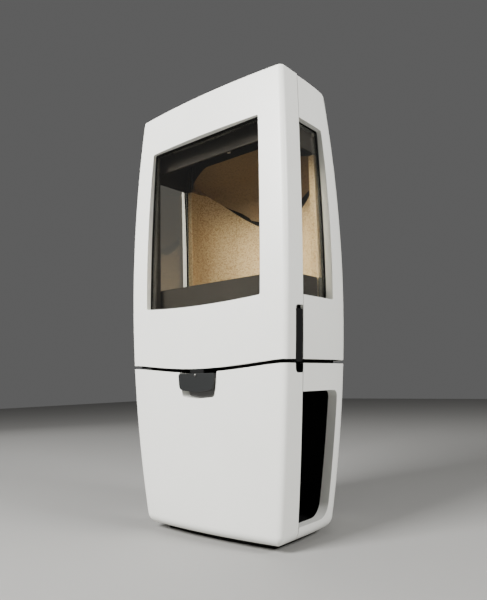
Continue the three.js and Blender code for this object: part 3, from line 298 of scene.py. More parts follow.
class StoveColours(bpy.types.PropertyGroup):
    enamel: colour("Enamel", "Warm white enamel", 0xEDEDE7)
    enamel_shade: colour("Enamel shade", "Where the enamel lies thinner", 0xE6E6DF)
    cast_iron: colour("Cast iron", "Black stove paint on cast iron", 0x1E1C1A)
    black_sheet: colour("Black sheet", "Stove paint on sheet steel", 0x0E0E0E)
    lever: colour("Lever", "Dark grey paint of the air lever", 0x131515)
    steel: colour("Steel", "Bare steel of pins and bolts", 0xB9B7B2)
    board: colour("Vermiculite", "Pressed vermiculite board", 0xA9926F)
    flake_dark: colour("Dark flake", "Shaded flakes of the board", 0x8F7651)
    flake_light: colour("Light flake", "Bright flakes of the board", 0xC4AF8C)
    # Painted shade: the board darkened for the baffle's shaded underside.
    baffle: colour("Baffle", "Vermiculite board browned by smoke", 0x6E5B42)
    control: colour("Control plate", "Worn grey paint of the plate behind the air lever", 0x5E5D5C)
    # Painted shade: the dark of the slit behind the baffle's edge, as a colour on the boards.
    slit_shade: colour("Soot", "Soot on the boards behind the baffle's edge", 0x0B0907)
    gasket: colour("Gasket", "Black graphite tape round the glass", 0x080808)
    rope: colour("Rope", "Glass-fibre rope, graphite grey", 0x2A2926)
    glass: colour("Glass", "Light that ceramic glass lets through", 0xF4F2EA)
    floor: colour("Floor", "Pale floor", 0x8E8D8A)


# ------------------------------------------------------------------ finishes


def feed(tree, node, links):
    """Feeds a node's inputs with sockets or plain values."""
    for key, value in links.items():
        if isinstance(value, bpy.types.NodeSocket):
            tree.links.new(value, node.inputs[key])
        else:
            node.inputs[key].default_value = value


def add_node(tree, kind, links, **settings):
    """Adds a node, sets its own properties, and feeds its inputs."""
    made = tree.nodes.new(kind)
    for key, value in settings.items():
        setattr(made, key, value)
    feed(tree, made, links)
    return made


def new_finish(name):
    """Material with a bare Principled shader, and the piece's own coordinates in metres."""
    finish = bpy.data.materials.new(name)
    finish.use_nodes = True
    tree = finish.node_tree
    shader = tree.nodes["Principled BSDF"]
    place = add_node(tree, "ShaderNodeTexCoord", {}).outputs["Object"]
    return finish, tree, shader, place


def tinted(linear_colour, share=1.0):
    """Colour for a socket, made darker or lighter by a share."""
    return (*[channel * share for channel in linear_colour], 1.0)


def fired_enamel(sizes, colours):
    # Enamel sprayed on cast iron and fired: a soft sheen, a faint orange peel, and a tone that clouds
    # by a hair where the coat is thinner. The eye reads it as thick and smooth.
    finish, tree, shader, place = new_finish("fired_white_enamel")
    thin, thick = tinted(colours.enamel_shade), tinted(colours.enamel)
    cloud = add_node(tree, "ShaderNodeTexNoise", {"Vector": place, "Scale": ENAMEL_CLOUDS, "Detail": 3.0})
    cover = cloud.outputs["Fac"]
    tone = add_node(tree, "ShaderNodeMixRGB", {"Fac": cover, "Color1": thin, "Color2": thick})
    sheen = add_node(tree, "ShaderNodeMapRange", {"Value": cover, "To Min": 0.36, "To Max": 0.44})
    peel = add_node(tree, "ShaderNodeTexNoise", {"Vector": place, "Scale": 1 / sizes.peel, "Detail": 1.5})
    ripples = {"Height": peel.outputs["Fac"], "Strength": 0.10, "Distance": 0.0004}
    bump = add_node(tree, "ShaderNodeBump", ripples)
    surface = {
        "Base Color": tone.outputs["Color"],
        "Roughness": sheen.outputs["Result"],
        "Normal": bump.outputs["Normal"],
        "IOR": 1.5,
    }
    feed(tree, shader, surface)
    return finish


def painted_iron(sizes, colours):
    # Sand-cast iron under matt stove paint: a grain that breaks up the light, in a black that clouds
    # a little.
    finish, tree, shader, place = new_finish("stove_painted_cast_iron")
    dark, full = tinted(colours.cast_iron, 0.75), tinted(colours.cast_iron)
    grain = add_node(tree, "ShaderNodeTexNoise", {"Vector": place, "Scale": 1 / sizes.grain, "Detail": 4.0})
    sand = grain.outputs["Fac"]
    cloud = add_node(tree, "ShaderNodeTexNoise", {"Vector": place, "Scale": PAINT_CLOUDS, "Detail": 2.0})
    tone = add_node(tree, "ShaderNodeMixRGB", {"Fac": cloud.outputs["Fac"], "Color1": dark, "Color2": full})
    sheen = add_node(tree, "ShaderNodeMapRange", {"Value": sand, "To Min": 0.68, "To Max": 0.86})
    bump = add_node(tree, "ShaderNodeBump", {"Height": sand, "Strength": 0.35, "Distance": 0.0005})
    surface = {
        "Base Color": tone.outputs["Color"],
        "Roughness": sheen.outputs["Result"],
        "Normal": bump.outputs["Normal"],
        "Specular IOR Level": 0.1,
    }
    feed(tree, shader, surface)
    return finish


def painted_sheet(sizes, colours):
    # Rolled sheet under the same black paint: smoother than the castings, so it shows a dull sheen.
    finish, tree, shader, place = new_finish("stove_painted_sheet_steel")
    dark, light = tinted(colours.black_sheet), tinted(colours.black_sheet, 1.5)
    cloud = add_node(tree, "ShaderNodeTexNoise", {"Vector": place, "Scale": SHEET_CLOUDS, "Detail": 3.0})
    cover = cloud.outputs["Fac"]
    tone = add_node(tree, "ShaderNodeMixRGB", {"Fac": cover, "Color1": dark, "Color2": light})
    sheen = add_node(tree, "ShaderNodeMapRange", {"Value": cover, "To Min": 0.5, "To Max": 0.66})
    surface = {
        "Base Color": tone.outputs["Color"],
        "Roughness": sheen.outputs["Result"],
        "Specular IOR Level": 0.15,
    }
    feed(tree, shader, surface)
    return finish


def powder_coat(name, paint, grain):
    """Fine textured powder coat in one colour."""
    finish, tree, shader, place = new_finish(name)
    speck = add_node(tree, "ShaderNodeTexNoise", {"Vector": place, "Scale": 1 / grain, "Detail": 2.0})
    fleck = speck.outputs["Fac"]
    tone = add_node(
        tree, "ShaderNodeMixRGB", {"Fac": fleck, "Color1": tinted(paint, 0.8), "Color2": tinted(paint)}
    )
    sheen = add_node(tree, "ShaderNodeMapRange", {"Value": fleck, "To Min": 0.5, "To Max": 0.64})
    bump = add_node(tree, "ShaderNodeBump", {"Height": fleck, "Strength": 0.2, "Distance": 0.0003})
    surface = {
        "Base Color": tone.outputs["Color"],
        "Roughness": sheen.outputs["Result"],
        "Normal": bump.outputs["Normal"],
        "Specular IOR Level": 0.35,
    }
    feed(tree, shader, surface)
    return finish


def lever_paint(sizes, colours):
    # Dark grey powder coat on the air lever: dull and even, with a texture as fine as sand.
    return powder_coat("grey_powder_coat", colours.lever, sizes.grain)


def worn_lever_paint(sizes, colours):
    # The same coat on the plate behind the lever, worn by use: it reads as a paler grey.
    return powder_coat("worn_grey_powder_coat", colours.control, sizes.grain)


def turned_steel(sizes, colours):
    # Turned bare steel of pins and bolts: bright, with fine lathe marks that stretch the highlight.
    finish, tree, shader, place = new_finish("turned_steel")
    stretch = add_node(tree, "ShaderNodeMapping", {"Vector": place, "Scale": LATHE_MARKS})
    along = stretch.outputs["Vector"]
    marks = add_node(tree, "ShaderNodeTexNoise", {"Vector": along, "Scale": 1.0, "Detail": 2.0})
    sheen = add_node(
        tree, "ShaderNodeMapRange", {"Value": marks.outputs["Fac"], "To Min": 0.26, "To Max": 0.42}
    )
    surface = {
        "Base Color": tinted(colours.steel),
        "Metallic": 1.0,
        "Roughness": sheen.outputs["Result"],
    }
    feed(tree, shader, surface)
    return finish


def board_tone(tree, shader, flake, place, tones):
    """Flakes of a pressed board: gives the pits to the shader, and returns the colour's socket. tones
    are the board's dark, middle and light ones."""
    flakes = add_node(tree, "ShaderNodeTexVoronoi", {"Vector": place, "Scale": 1 / flake})
    flecks = add_node(tree, "ShaderNodeSeparateColor", {"Color": flakes.outputs["Color"]})
    dust = add_node(tree, "ShaderNodeTexNoise", {"Vector": place, "Scale": 2.2 / flake, "Detail": 3.0})
    mixed = add_node(
        tree, "ShaderNodeMath", {0: flecks.outputs["Red"], 1: dust.outputs["Fac"]}, operation="MULTIPLY"
    ).outputs["Value"]
    ramp = add_node(tree, "ShaderNodeValToRGB", {"Fac": mixed})
    stops = ramp.color_ramp.elements
    dark, middle, light = tones
    stops[0].color = dark
    stops[1].color = light
    stops.new(0.22).color = middle
    bump = add_node(tree, "ShaderNodeBump", {"Height": mixed, "Strength": 0.45, "Distance": 0.0008})
    feed(tree, shader, {"Normal": bump.outputs["Normal"], "Roughness": 0.95, "Specular IOR Level": 0.2})
    return ramp.outputs["Color"]


def slit_shade_share(tree, place):
    """One where shade is painted on the lining, above the shade line and behind the baffle's edge, else
    zero."""
    axes = add_node(tree, "ShaderNodeSeparateXYZ", {"Vector": place}).outputs
    aside = add_node(tree, "ShaderNodeMath", {0: axes["X"]}, operation="ABSOLUTE").outputs["Value"]
    slope = add_node(
        tree, "ShaderNodeMath", {0: aside, 1: SLIT_SHADE_BEND, 2: SLIT_SHADE_RISE}, operation="MULTIPLY_ADD"
    ).outputs["Value"]
    line = add_node(
        tree, "ShaderNodeMath", {0: aside, 1: slope, 2: SLIT_SHADE_MIDDLE}, operation="MULTIPLY_ADD"
    ).outputs["Value"]
    above = add_node(tree, "ShaderNodeMath", {0: axes["Z"], 1: line}, operation="SUBTRACT").outputs["Value"]
    high = add_node(tree, "ShaderNodeMapRange", {"Value": above, "From Min": 0.0, "From Max": SLIT_SHADE_FADE})
    behind = add_node(tree, "ShaderNodeMath", {0: axes["Y"], 1: SLIT_SHADE_FRONT}, operation="GREATER_THAN")
    both = {0: high.outputs["Result"], 1: behind.outputs["Value"]}
    return add_node(tree, "ShaderNodeMath", both, operation="MULTIPLY").outputs["Value"]


def vermiculite_board(sizes, colours):
    # Pressed vermiculite: golden flakes in every direction, matt, with small pits between them. The
    # flakes are drawn at twice their size so that they still show from across a room. Behind the
    # baffle's edge the boards are painted near black: painted shade, so that the slit there reads dark.
    finish, tree, shader, place = new_finish("pressed_vermiculite")
    tones = tinted(colours.flake_dark), tinted(colours.board), tinted(colours.flake_light)
    clean = board_tone(tree, shader, sizes.flake, place, tones)
    slit_shade = tinted(colours.slit_shade)
    tone = add_node(
        tree, "ShaderNodeMixRGB", {"Fac": slit_shade_share(tree, place), "Color1": clean, "Color2": slit_shade}
    )
    feed(tree, shader, {"Base Color": tone.outputs["Color"]})
    return finish


def shaded_baffle_board(sizes, colours):
    # The same board darkened all over: painted shade, so the underside of the baffle reads dark brown.
    finish, tree, shader, place = new_finish("shade_darkened_vermiculite")
    tones = [tinted(colours.baffle, share) for share in (0.8, 1.0, 1.2)]
    feed(tree, shader, {"Base Color": board_tone(tree, shader, sizes.flake, place, tones)})
    return finish


def graphite_tape(sizes, colours):
    # Flat graphite tape between glass and casting: matt black with a fine weave, a clean dark line.
    finish, tree, shader, place = new_finish("graphite_tape")
    dark, full = tinted(colours.gasket, 0.6), tinted(colours.gasket)
    weave = add_node(tree, "ShaderNodeTexNoise", {"Vector": place, "Scale": 1 / sizes.grain, "Detail": 1.0})
    tone = add_node(tree, "ShaderNodeMixRGB", {"Fac": weave.outputs["Fac"], "Color1": dark, "Color2": full})
    surface = {"Base Color": tone.outputs["Color"], "Roughness": 0.9, "Specular IOR Level": 0.2}
    feed(tree, shader, surface)
    return finish


def glass_rope(sizes, colours):
    # Knitted glass-fibre rope pressed flat: slanting strands in graphite grey.
    finish, tree, shader, place = new_finish("knitted_glass_rope")
    dark, full = tinted(colours.rope, 0.5), tinted(colours.rope)
    slant = (0.0, math.radians(45), 0.0)
    turned = add_node(tree, "ShaderNodeMapping", {"Vector": place, "Rotation": slant})
    across = turned.outputs["Vector"]
    strands = add_node(tree, "ShaderNodeTexWave", {"Vector": across, "Scale": ROPE_STRANDS})
    rise = strands.outputs["Fac"]
    tone = add_node(tree, "ShaderNodeMixRGB", {"Fac": rise, "Color1": dark, "Color2": full})
    bump = add_node(tree, "ShaderNodeBump", {"Height": rise, "Strength": 0.6, "Distance": 0.0008})
    surface = {
        "Base Color": tone.outputs["Color"],
        "Normal": bump.outputs["Normal"],
        "Roughness": 0.95,
    }
    feed(tree, shader, surface)
    return finish


def ceramic_glass(sizes, colours):
    # Clear ceramic glass: it mirrors a little, more at a slant, and lets lamps light what lies behind.
    finish, tree, shader, _ = new_finish("ceramic_glass")
    clear = tinted(colours.glass)
    surface = {"Base Color": clear, "Roughness": 0.0, "IOR": 1.5, "Transmission Weight": 1.0}
    feed(tree, shader, surface)
    shadow = add_node(tree, "ShaderNodeLightPath", {}).outputs["Is Shadow Ray"]
    through = add_node(tree, "ShaderNodeBsdfTransparent", {"Color": clear})
    either = {"Fac": shadow, 1: shader.outputs["BSDF"], 2: through.outputs["BSDF"]}
    both = add_node(tree, "ShaderNodeMixShader", either)
    feed(tree, tree.nodes["Material Output"], {"Surface": both.outputs["Shader"]})
    return finish


# The finish of each material slot, and of three looks that differ from their slot's own.
FINISHES = {
    "enamel": fired_enamel,
    "cast_iron": painted_iron,
    "black_steel": painted_sheet,
    "grey_steel": lever_paint,
    "bright_steel": turned_steel,
    "worn_grey": worn_lever_paint,
    "vermiculite": vermiculite_board,
    "shaded_baffle": shaded_baffle_board,
    "gasket": graphite_tape,
    "rope": glass_rope,
    "glass": ceramic_glass,
}
made_finishes = {}


def finish_for(context, look):
    """The finish for a slot or look, made the first time that a piece asks for it."""
    if look not in made_finishes:
        made_finishes[look] = FINISHES[look](context.scene.stove_sizes, context.scene.stove_colours)
    return made_finishes[look]


# ------------------------------------------------------------------ modelling helpers


# Body and material slot of each CAD node, from the frame's record.
BODY_OF = {node: body for body, nodes in frame["record"]["behaviour"]["bodies"].items() for node in nodes}
SLOT_OF = {part["node"]: part["material_slot"] for part in frame["record"]["subparts"]}


def select_only(piece):
    if bpy.context.object and bpy.context.object.mode != "OBJECT":
        bpy.ops.object.mode_set(mode="OBJECT")
    bpy.ops.object.select_all(action="DESELECT")
    piece.select_set(True)
    bpy.context.view_layer.objects.active = piece


def new_piece(name, mesh):
    piece = bpy.data.objects.new(name, mesh)
    bpy.context.scene.collection.objects.link(piece)
    select_only(piece)
    return piece


def from_bmesh(name, bm):
    bmesh.ops.recalc_face_normals(bm, faces=bm.faces)
    mesh = bpy.data.meshes.new(name)
    bm.to_mesh(mesh)
    bm.free()
    return new_piece(name, mesh)


def apply_modifier(piece, kind, **settings):
    select_only(piece)
    modifier = piece.modifiers.new(kind.lower(), kind)
    for key, value in settings.items():
        setattr(modifier, key, value)
    bpy.ops.object.modifier_apply(modifier=modifier.name)


def combine(piece, tool, operation):
    """Joins a tool solid to a piece, or cuts it out of it, and takes the tool away."""
    apply_modifier(piece, "BOOLEAN", operation=operation, solver="EXACT", object=tool)
    bpy.data.objects.remove(tool, do_unlink=True)


def settle(piece):
    """Puts the piece's place into its mesh."""
    select_only(piece)
    bpy.ops.object.transform_apply(location=True, rotation=True, scale=True)


def finish_piece(context, piece, slot, body, nodes=(), edge=0.0, segments=2, look=None):
    """Breaks the edges, smooths the shading, and hands the piece to its body. look names a finish
    other than the slot's own."""
    if edge:
        bevel = {"width": edge, "segments": segments, "angle_limit": SHARP_ANGLE}
        apply_modifier(piece, "BEVEL", limit_method="ANGLE", **bevel)
    select_only(piece)
    bpy.ops.object.shade_smooth_by_angle(angle=SHARP_ANGLE)
    apply_modifier(piece, "WEIGHTED_NORMAL", keep_sharp=True, weight=60)
    piece.data.materials.clear()
    piece.data.materials.append(finish_for(context, look or slot))
    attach(piece, body)
    if nodes:
        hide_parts(*nodes)
    return piece


def dressed(context, node, edge, segments=2, look=None):
    """A CAD node's own shape with broken edges and smooth shading, standing for the node."""
    piece = new_piece(node + "_finished", frame["nodes"][node].data.copy())
    bpy.ops.object.mode_set(mode="EDIT")
    bpy.ops.mesh.select_all(action="SELECT")
    bpy.ops.mesh.remove_doubles(threshold=MERGE_DISTANCE)
    bpy.ops.mesh.dissolve_limited(angle_limit=FLAT_ANGLE)
    bpy.ops.object.mode_set(mode="OBJECT")
    return finish_piece(context, piece, SLOT_OF[node], BODY_OF[node], [node], edge, segments, look)


def cube(name, x, y, z):
    """Box between two values on each axis, in millimetres."""
    bpy.ops.object.select_all(action="DESELECT")
    middle = [(a + b) / 2 * MM for a, b in (x, y, z)]
    bpy.ops.mesh.primitive_cube_add(size=1, location=middle)
    piece = bpy.context.object
    piece.name = name
    piece.scale = [abs(b - a) * MM for a, b in (x, y, z)]
    settle(piece)
    return piece


def cylinder(name, radius, centre, depth, vertices=48):
    """Upright cylinder about its centre, in millimetres."""
    bpy.ops.object.select_all(action="DESELECT")
    place = Vector(centre) * MM
    bpy.ops.mesh.primitive_cylinder_add(
        vertices=vertices, radius=radius * MM, depth=depth * MM, location=place
    )
    piece = bpy.context.object
    piece.name = name
    settle(piece)
    return piece


def loft(name, rings):
    """Closed skin through rings of points in millimetres, with a flat face on each end ring."""
    bm = bmesh.new()
    loops = [[bm.verts.new(Vector(point) * MM) for point in ring] for ring in rings]
    count = len(loops[0])
    for low, high in zip(loops, loops[1:]):
        for i in range(count):
            following = (i + 1) % count
            bm.faces.new((low[i], low[following], high[following], high[i]))
    bm.faces.new(loops[0])
    bm.faces.new(loops[-1])
    return from_bmesh(name, bm)


def rounded_outline(corners, steps=6):
    """Outline in two axes with each corner (a, b, radius) rounded by a quadratic curve."""
    points = []
    for index, (a, b, radius) in enumerate(corners):
        corner = Vector((a, b))
        before = Vector(corners[index - 1][:2]) - corner
        after = Vector(corners[(index + 1) % len(corners)][:2]) - corner
        if not radius:
            points.append(corner)
            continue
        reach = radius / math.tan(before.angle(after) / 2)
        start = corner + before.normalized() * reach
        end = corner + after.normalized() * reach
        for step in range(steps + 1):
            share = step / steps
            points.append(start * (1 - share) ** 2 + corner * 2 * share * (1 - share) + end * share**2)
    return points


def ring_prism(name, outer, inner, near, far):
    """Closed ring between two outlines of equal count; near and far turn an outline point into a
    place on the ring's two faces, in millimetres."""
    bm = bmesh.new()
    loops = [
        [bm.verts.new(Vector(place(*point)) * MM) for point in outline]
        for outline, place in ((outer, near), (outer, far), (inner, far), (inner, near))
    ]
    count = len(outer)
    for this, other in zip(loops, loops[1:] + loops[:1]):
        for i in range(count):
            following = (i + 1) % count
            bm.faces.new((this[i], this[following], other[following], other[i]))
    return from_bmesh(name, bm)


def shares(count, first=0):
    """Even steps up to 1, from 0 or from a later step."""
    return [i / count for i in range(first, count + 1)]


def zone_lines(zone, count, first=1):
    """Grid lines across one zone of a casting in even steps. The zone before it has line 0, so that is
    left out unless first is 0."""
    return [(zone, share) for share in shares(count, first)]


def rolled(radius, share):
    """A rolled edge, a share of the way round: how far it has gone along and how far in."""
    angle = share * math.pi / 2
    return radius * math.sin(angle), radius * (1 - math.cos(angle))


def growth(layer, amount):
    """How much wider an opening is at a layer: by the amount at the back of the wall, else not."""
    return amount if layer in ("heel", "inner") else 0


def sheet_casting(name, columns, rows, place, is_open, capped=False):
    """Casting between an outer and an inner sheet on one grid, closed round its edges. Where cells are
    open, a lip and a heel carry the outer edge in to a frame's plane. place gives each grid point in
    millimetres. With capped, flat plates close the top between the two ends of the last row."""
    bm = bmesh.new()
    made = {}
    last_column, last_row = len(columns) - 1, len(rows) - 1

    def vertex(i, j, layer):
        key = (i, j, layer)
        if key not in made:
            made[key] = bm.verts.new(Vector(place(columns[i], rows[j], layer)) * MM)
        return made[key]

    def face(*keys):
        bm.faces.new([vertex(*key) for key in keys])

    cells = {(i, j) for i in range(last_column) for j in range(last_row) if not is_open(i, j)}
    lip_edges = {}
    for i, j in cells:
        for layer in ("outer", "inner"):
            face((i, j, layer), (i + 1, j, layer), (i + 1, j + 1, layer), (i, j + 1, layer))
        sides = (
            ((i, j), (i + 1, j), (i, j - 1)),
            ((i, j + 1), (i + 1, j + 1), (i, j + 1)),
            ((i, j), (i, j + 1), (i - 1, j)),
            ((i + 1, j), (i + 1, j + 1), (i + 1, j)),
        )
        for start, end, neighbour in sides:
            if neighbour in cells:
                continue
            inside = 0 <= neighbour[0] < last_column and 0 <= neighbour[1] < last_row
            if capped and neighbour[1] == last_row:
                continue
            path = ("outer", "lip", "heel", "inner") if inside else ("outer", "inner")
            for near, far in zip(path, path[1:]):
                face((*start, near), (*end, near), (*end, far), (*start, far))
            if inside:
                for point in (start, end):
                    lip_edges[point] = lip_edges.get(point, 0) + 1
    for point, count in lip_edges.items():
        if count == 1:
            face(*[(*point, layer) for layer in ("outer", "lip", "heel", "inner")])
    if capped:
        for layer in ("outer", "inner"):
            bm.faces.new([vertex(i, last_row, layer) for i in range(last_column + 1)])
        ends = (0, last_row), (last_column, last_row)
        face((*ends[0], "outer"), (*ends[1], "outer"), (*ends[1], "inner"), (*ends[0], "inner"))
    return from_bmesh(name, bm)


def mirrored_copy(piece, name):
    """The piece's mirror image across the stove's plane of symmetry, with a mesh of its own."""
    copy = new_piece(name, piece.data.copy())
    bpy.ops.object.mode_set(mode="EDIT")
    bpy.ops.mesh.select_all(action="SELECT")
    bpy.ops.transform.resize(value=(-1, 1, 1), center_override=(0, 0, 0))
    bpy.ops.mesh.normals_make_consistent(inside=False)
    bpy.ops.object.mode_set(mode="OBJECT")
    return copy


# ------------------------------------------------------------------ front castings


EDGE_OFFSETS = (0.0, 2.0, 4.0)  # columns and rows next to a window's edge, for its rounded corners


def both_sides(zones):
    """Columns from the left seam to the right one, from one side's list that runs to the middle."""
    left = [(-1, zone, share) for zone, share in zones]
    right = [(1, zone, share) for zone, share in reversed(zones[:-1])]
    return left + right


def door_casting():
    """Door casting: columns run round the front, and rows from the gap past the window to the rolled
    top, which a flat flange closes."""
    window_half = half_width(WINDOW_BOTTOM) - WINDOW_MARGIN
    window_height = WINDOW_TOP - WINDOW_BOTTOM
    edge_shares = [offset / window_half for offset in EDGE_OFFSETS]
    pane = edge_shares + [lerp(edge_shares[-1], 1, share) for share in shares(9, 1)]
    zones = zone_lines("wrap", 8, 0) + zone_lines("fillet", 6) + zone_lines("stile", 4)
    columns = both_sides(zones + [("pane", share) for share in pane[1:]])
    edge_rows = [offset / window_height for offset in EDGE_OFFSETS]
    window_rows = edge_rows + [lerp(edge_rows[-1], 1 - edge_rows[-1], share) for share in shares(14, 1)]
    window_rows += [1 - share for share in reversed(edge_rows[:-1])]
    rows = zone_lines("skirt", 9, 0) + [("window", share) for share in window_rows[1:]]
    rows += zone_lines("crown", 6) + zone_lines("roll", 4)
    first_open = rows.index(("skirt", 1.0))
    last_open = rows.index(("window", window_rows[-1]))
    left_edge = columns.index((-1, "stile", 1.0))
    right_edge = columns.index((1, "stile", 1.0))

    def is_open(i, j):
        return left_edge <= i < right_edge and first_open <= j < last_open

    def height(column, row, layer):
        """Height of a grid point, and how far the rolled top has come in there."""
        grow = growth(layer, WALL)
        bottom = GAP_TOP - gap_dip(front_point(column, GAP_TOP)[0])
        sag = WINDOW_DIP * (1 - (1 - column[2]) ** 2) if column[1] == "pane" else 0
        low = WINDOW_BOTTOM - grow - sag
        high = WINDOW_TOP + grow
        crown = DOOR_TOP - DOOR_ROLL - (DOOR_INNER_DROP if layer == "inner" else 0)
        kind, share = row
        if kind == "skirt":
            return lerp(bottom, low, share), 0.0
        if kind == "window":
            return lerp(low, high, share), 0.0
        if kind == "crown":
            return lerp(high, crown, share), 0.0
        if layer == "inner":
            return lerp(crown, DOOR_TOP - DOOR_FLANGE, share), 0.0
        rise, inset = rolled(DOOR_ROLL, share)
        return DOOR_TOP - DOOR_ROLL + rise, inset

    def corner_shift(column, row):
        """Rounds the window's corners: how far the point moves (in, up)."""
        on_side = column[1:] == ("stile", 1.0)
        in_window = row[0] == "window"
        from_edge = 0.0 if on_side else column[2] * window_half if column[1] == "pane" else FAR
        from_bottom = 0.0 if row == ("skirt", 1.0) else row[1] * window_height if in_window else FAR
        from_top = (1 - row[1]) * window_height if in_window else FAR
        for distance, up in ((from_bottom, 1), (from_top, -1)):
            if on_side and distance < WINDOW_RADIUS:
                back, rise = rounded_corner(distance, WINDOW_RADIUS, True)
                return -back, up * (rise - distance)
            if distance < 1e-6 and from_edge < WINDOW_RADIUS:
                back, rise = rounded_corner(from_edge, WINDOW_RADIUS, False)
                return -back - from_edge, up * rise
        return 0.0, 0.0

    def place(column, row, layer):
        side = column[0]
        z, inset = height(column, row, layer)
        inward, up = corner_shift(column, row)
        z += up
        undercut = 0
        if layer == "inner":
            inset = WALL
            undercut = WALL if side < 0 else 0
        x, y = front_point(column, z, inset, growth(layer, WALL), undercut)
        x -= side * inward
        if layer in ("lip", "heel"):
            y = glass_y(z)
        return x, y, z

    return sheet_casting("door_casting_enamel", columns, rows, place, is_open, capped=True)


def recess_prism(name, grow, inner_inset, outer_inset):
    """Solid of the handle's recess, or with grow of its wall: rounded at its upper front corner,
    between two depths."""
    rear = seam_y(GAP_TOP) - CLEAR if grow else RECESS_REAR
    front, top = HANDLE_FRONT - grow, RECESS_TOP + grow
    corners = [
        (front, RECESS_LOW, 0),
        (rear, RECESS_LOW, 0),
        (rear, top, 0),
        (front, top, RECESS_RADIUS + grow),
    ]
    low = GAP_TOP + 0.2 if grow else RECESS_LOW
    outline = [(y, max(z, low)) for y, z in rounded_outline(corners)]
    rings = [[(half_width(z) - inset, y, z) for y, z in outline] for inset in (inner_inset, outer_inset)]
    return loft(name, rings)


def hinge_ear():
    """Round ear on the door's top flange; the hole for the upper pin is cut later."""
    middle = (HINGE_X, HINGE_Y, (EAR_LOW + EAR_HIGH) / 2)
    ear = cylinder("ear", EAR_RADIUS, middle, EAR_HIGH - EAR_LOW)
    width = (HINGE_X - EAR_RADIUS, HINGE_X + EAR_RADIUS)
    arm = cube("ear_arm", width, (EAR_FRONT, HINGE_Y), (EAR_LOW, EAR_HIGH))
    combine(ear, arm, "UNION")
    return ear


def lower_front_casting():
    """Lower front casting from the gap down to its rolled sole, before the notch is cut."""
    zones = zone_lines("wrap", 8, 0) + zone_lines("fillet", 6) + zone_lines("stile", 4)
    columns = both_sides(zones + zone_lines("pane", 12))
    rows = zone_lines("face", 16, 0) + zone_lines("roll", 7) + [("sole", 1)]
    inner_lift, inner_roll_share = 10, 0.9

    def place(column, row, layer):
        kind, share = row
        inner = layer == "inner"
        top = GAP_BOTTOM - gap_dip(front_point(column, GAP_BOTTOM)[0])
        low = SHELL_BOTTOM + SOLE_ROLL + (inner_lift if inner else 0)
        if kind == "face":
            z, inset = lerp(top, low, share), WALL if inner else 0
        elif inner:
            turned = share * inner_roll_share if kind == "roll" else share
            z, inset = lerp(low, SOLE_INSIDE, turned), lerp(WALL, SOLE_INSET, turned)
        elif kind == "roll":
            drop, inset = rolled(SOLE_ROLL, share)
            z = low - drop
        else:
            z, inset = SHELL_BOTTOM, SOLE_INSET
        x, y = front_point(column, z, inset)
        return x, y, z

    return sheet_casting("lower_front_panel_enamel", columns, rows, place, lambda i, j: False)


def notch_outline(grow=0.0, top=GAP_TOP + 20):
    """Outline of the finger notch, x and z: its sides lean in, and its bottom bulges down."""
    low = NOTCH_BOTTOM - grow
    corners = [
        (-NOTCH_TOP_HALF - grow, top, 0),
        (-NOTCH_BOTTOM_HALF - grow, low + NOTCH_SAG, NOTCH_RADIUS),
        (0, low, NOTCH_BELLY),
        (NOTCH_BOTTOM_HALF + grow, low + NOTCH_SAG, NOTCH_RADIUS),
        (NOTCH_TOP_HALF + grow, top, 0),
    ]
    return rounded_outline(corners, 8)


def notch_face_y():
    """Depth of the lower casting's face at the middle of the notch."""
    return front_corner_y(GAP_BOTTOM) - FRONT_BOW


def notch_scoop():
    """The hollow for the fingers: steep walls at the face, rounded into a flat bottom."""
    face_y = notch_face_y()
    centre_z = GAP_BOTTOM - GAP_DIP
    outline = notch_outline()
    rings = [[(x, face_y - 20, z) for x, z in outline]]
    steps = 14
    for step in range(steps + 1):
        sunk = math.sin(step / steps * math.radians(90) * NOTCH_TURN)
        scale = (1 - sunk**NOTCH_STEEP) ** (1 / NOTCH_STEEP)
        depth = face_y + NOTCH_DEPTH * sunk
        rings.append([(x * scale, depth, centre_z + (z - centre_z) * scale) for x, z in outline])
    return loft("notch_scoop", rings)


def notch_backing():
    """Block behind the casting's wall that the notch is scooped from."""
    face_y = notch_face_y()
    outline = notch_outline(NOTCH_RIM, GAP_BOTTOM - GAP_DIP - CLEAR)
    depths = (face_y + 5, face_y + NOTCH_DEPTH)
    return loft("notch_backing", [[(x, y, z) for x, z in outline] for y in depths])


def finger_slot():
    """Slot in the lower casting that carries the handle's recess on below the gap."""
    front, rear = HANDLE_FRONT, HANDLE_REAR + FINGER_SLOT_REACH
    corners = [
        (front, FINGER_SLOT_TOP, 0),
        (front + FINGER_SLOT_LEAN, FINGER_SLOT_BOTTOM, FINGER_SLOT_FRONT_RADIUS),
        (rear, FINGER_SLOT_BOTTOM, FINGER_SLOT_REAR_RADIUS),
        (rear, FINGER_SLOT_TOP, 0),
    ]
    outline = rounded_outline(corners)
    return loft("finger_slot", [[(x, y, z) for y, z in outline] for x in FINGER_SLOT_X])


# ------------------------------------------------------------------ side castings


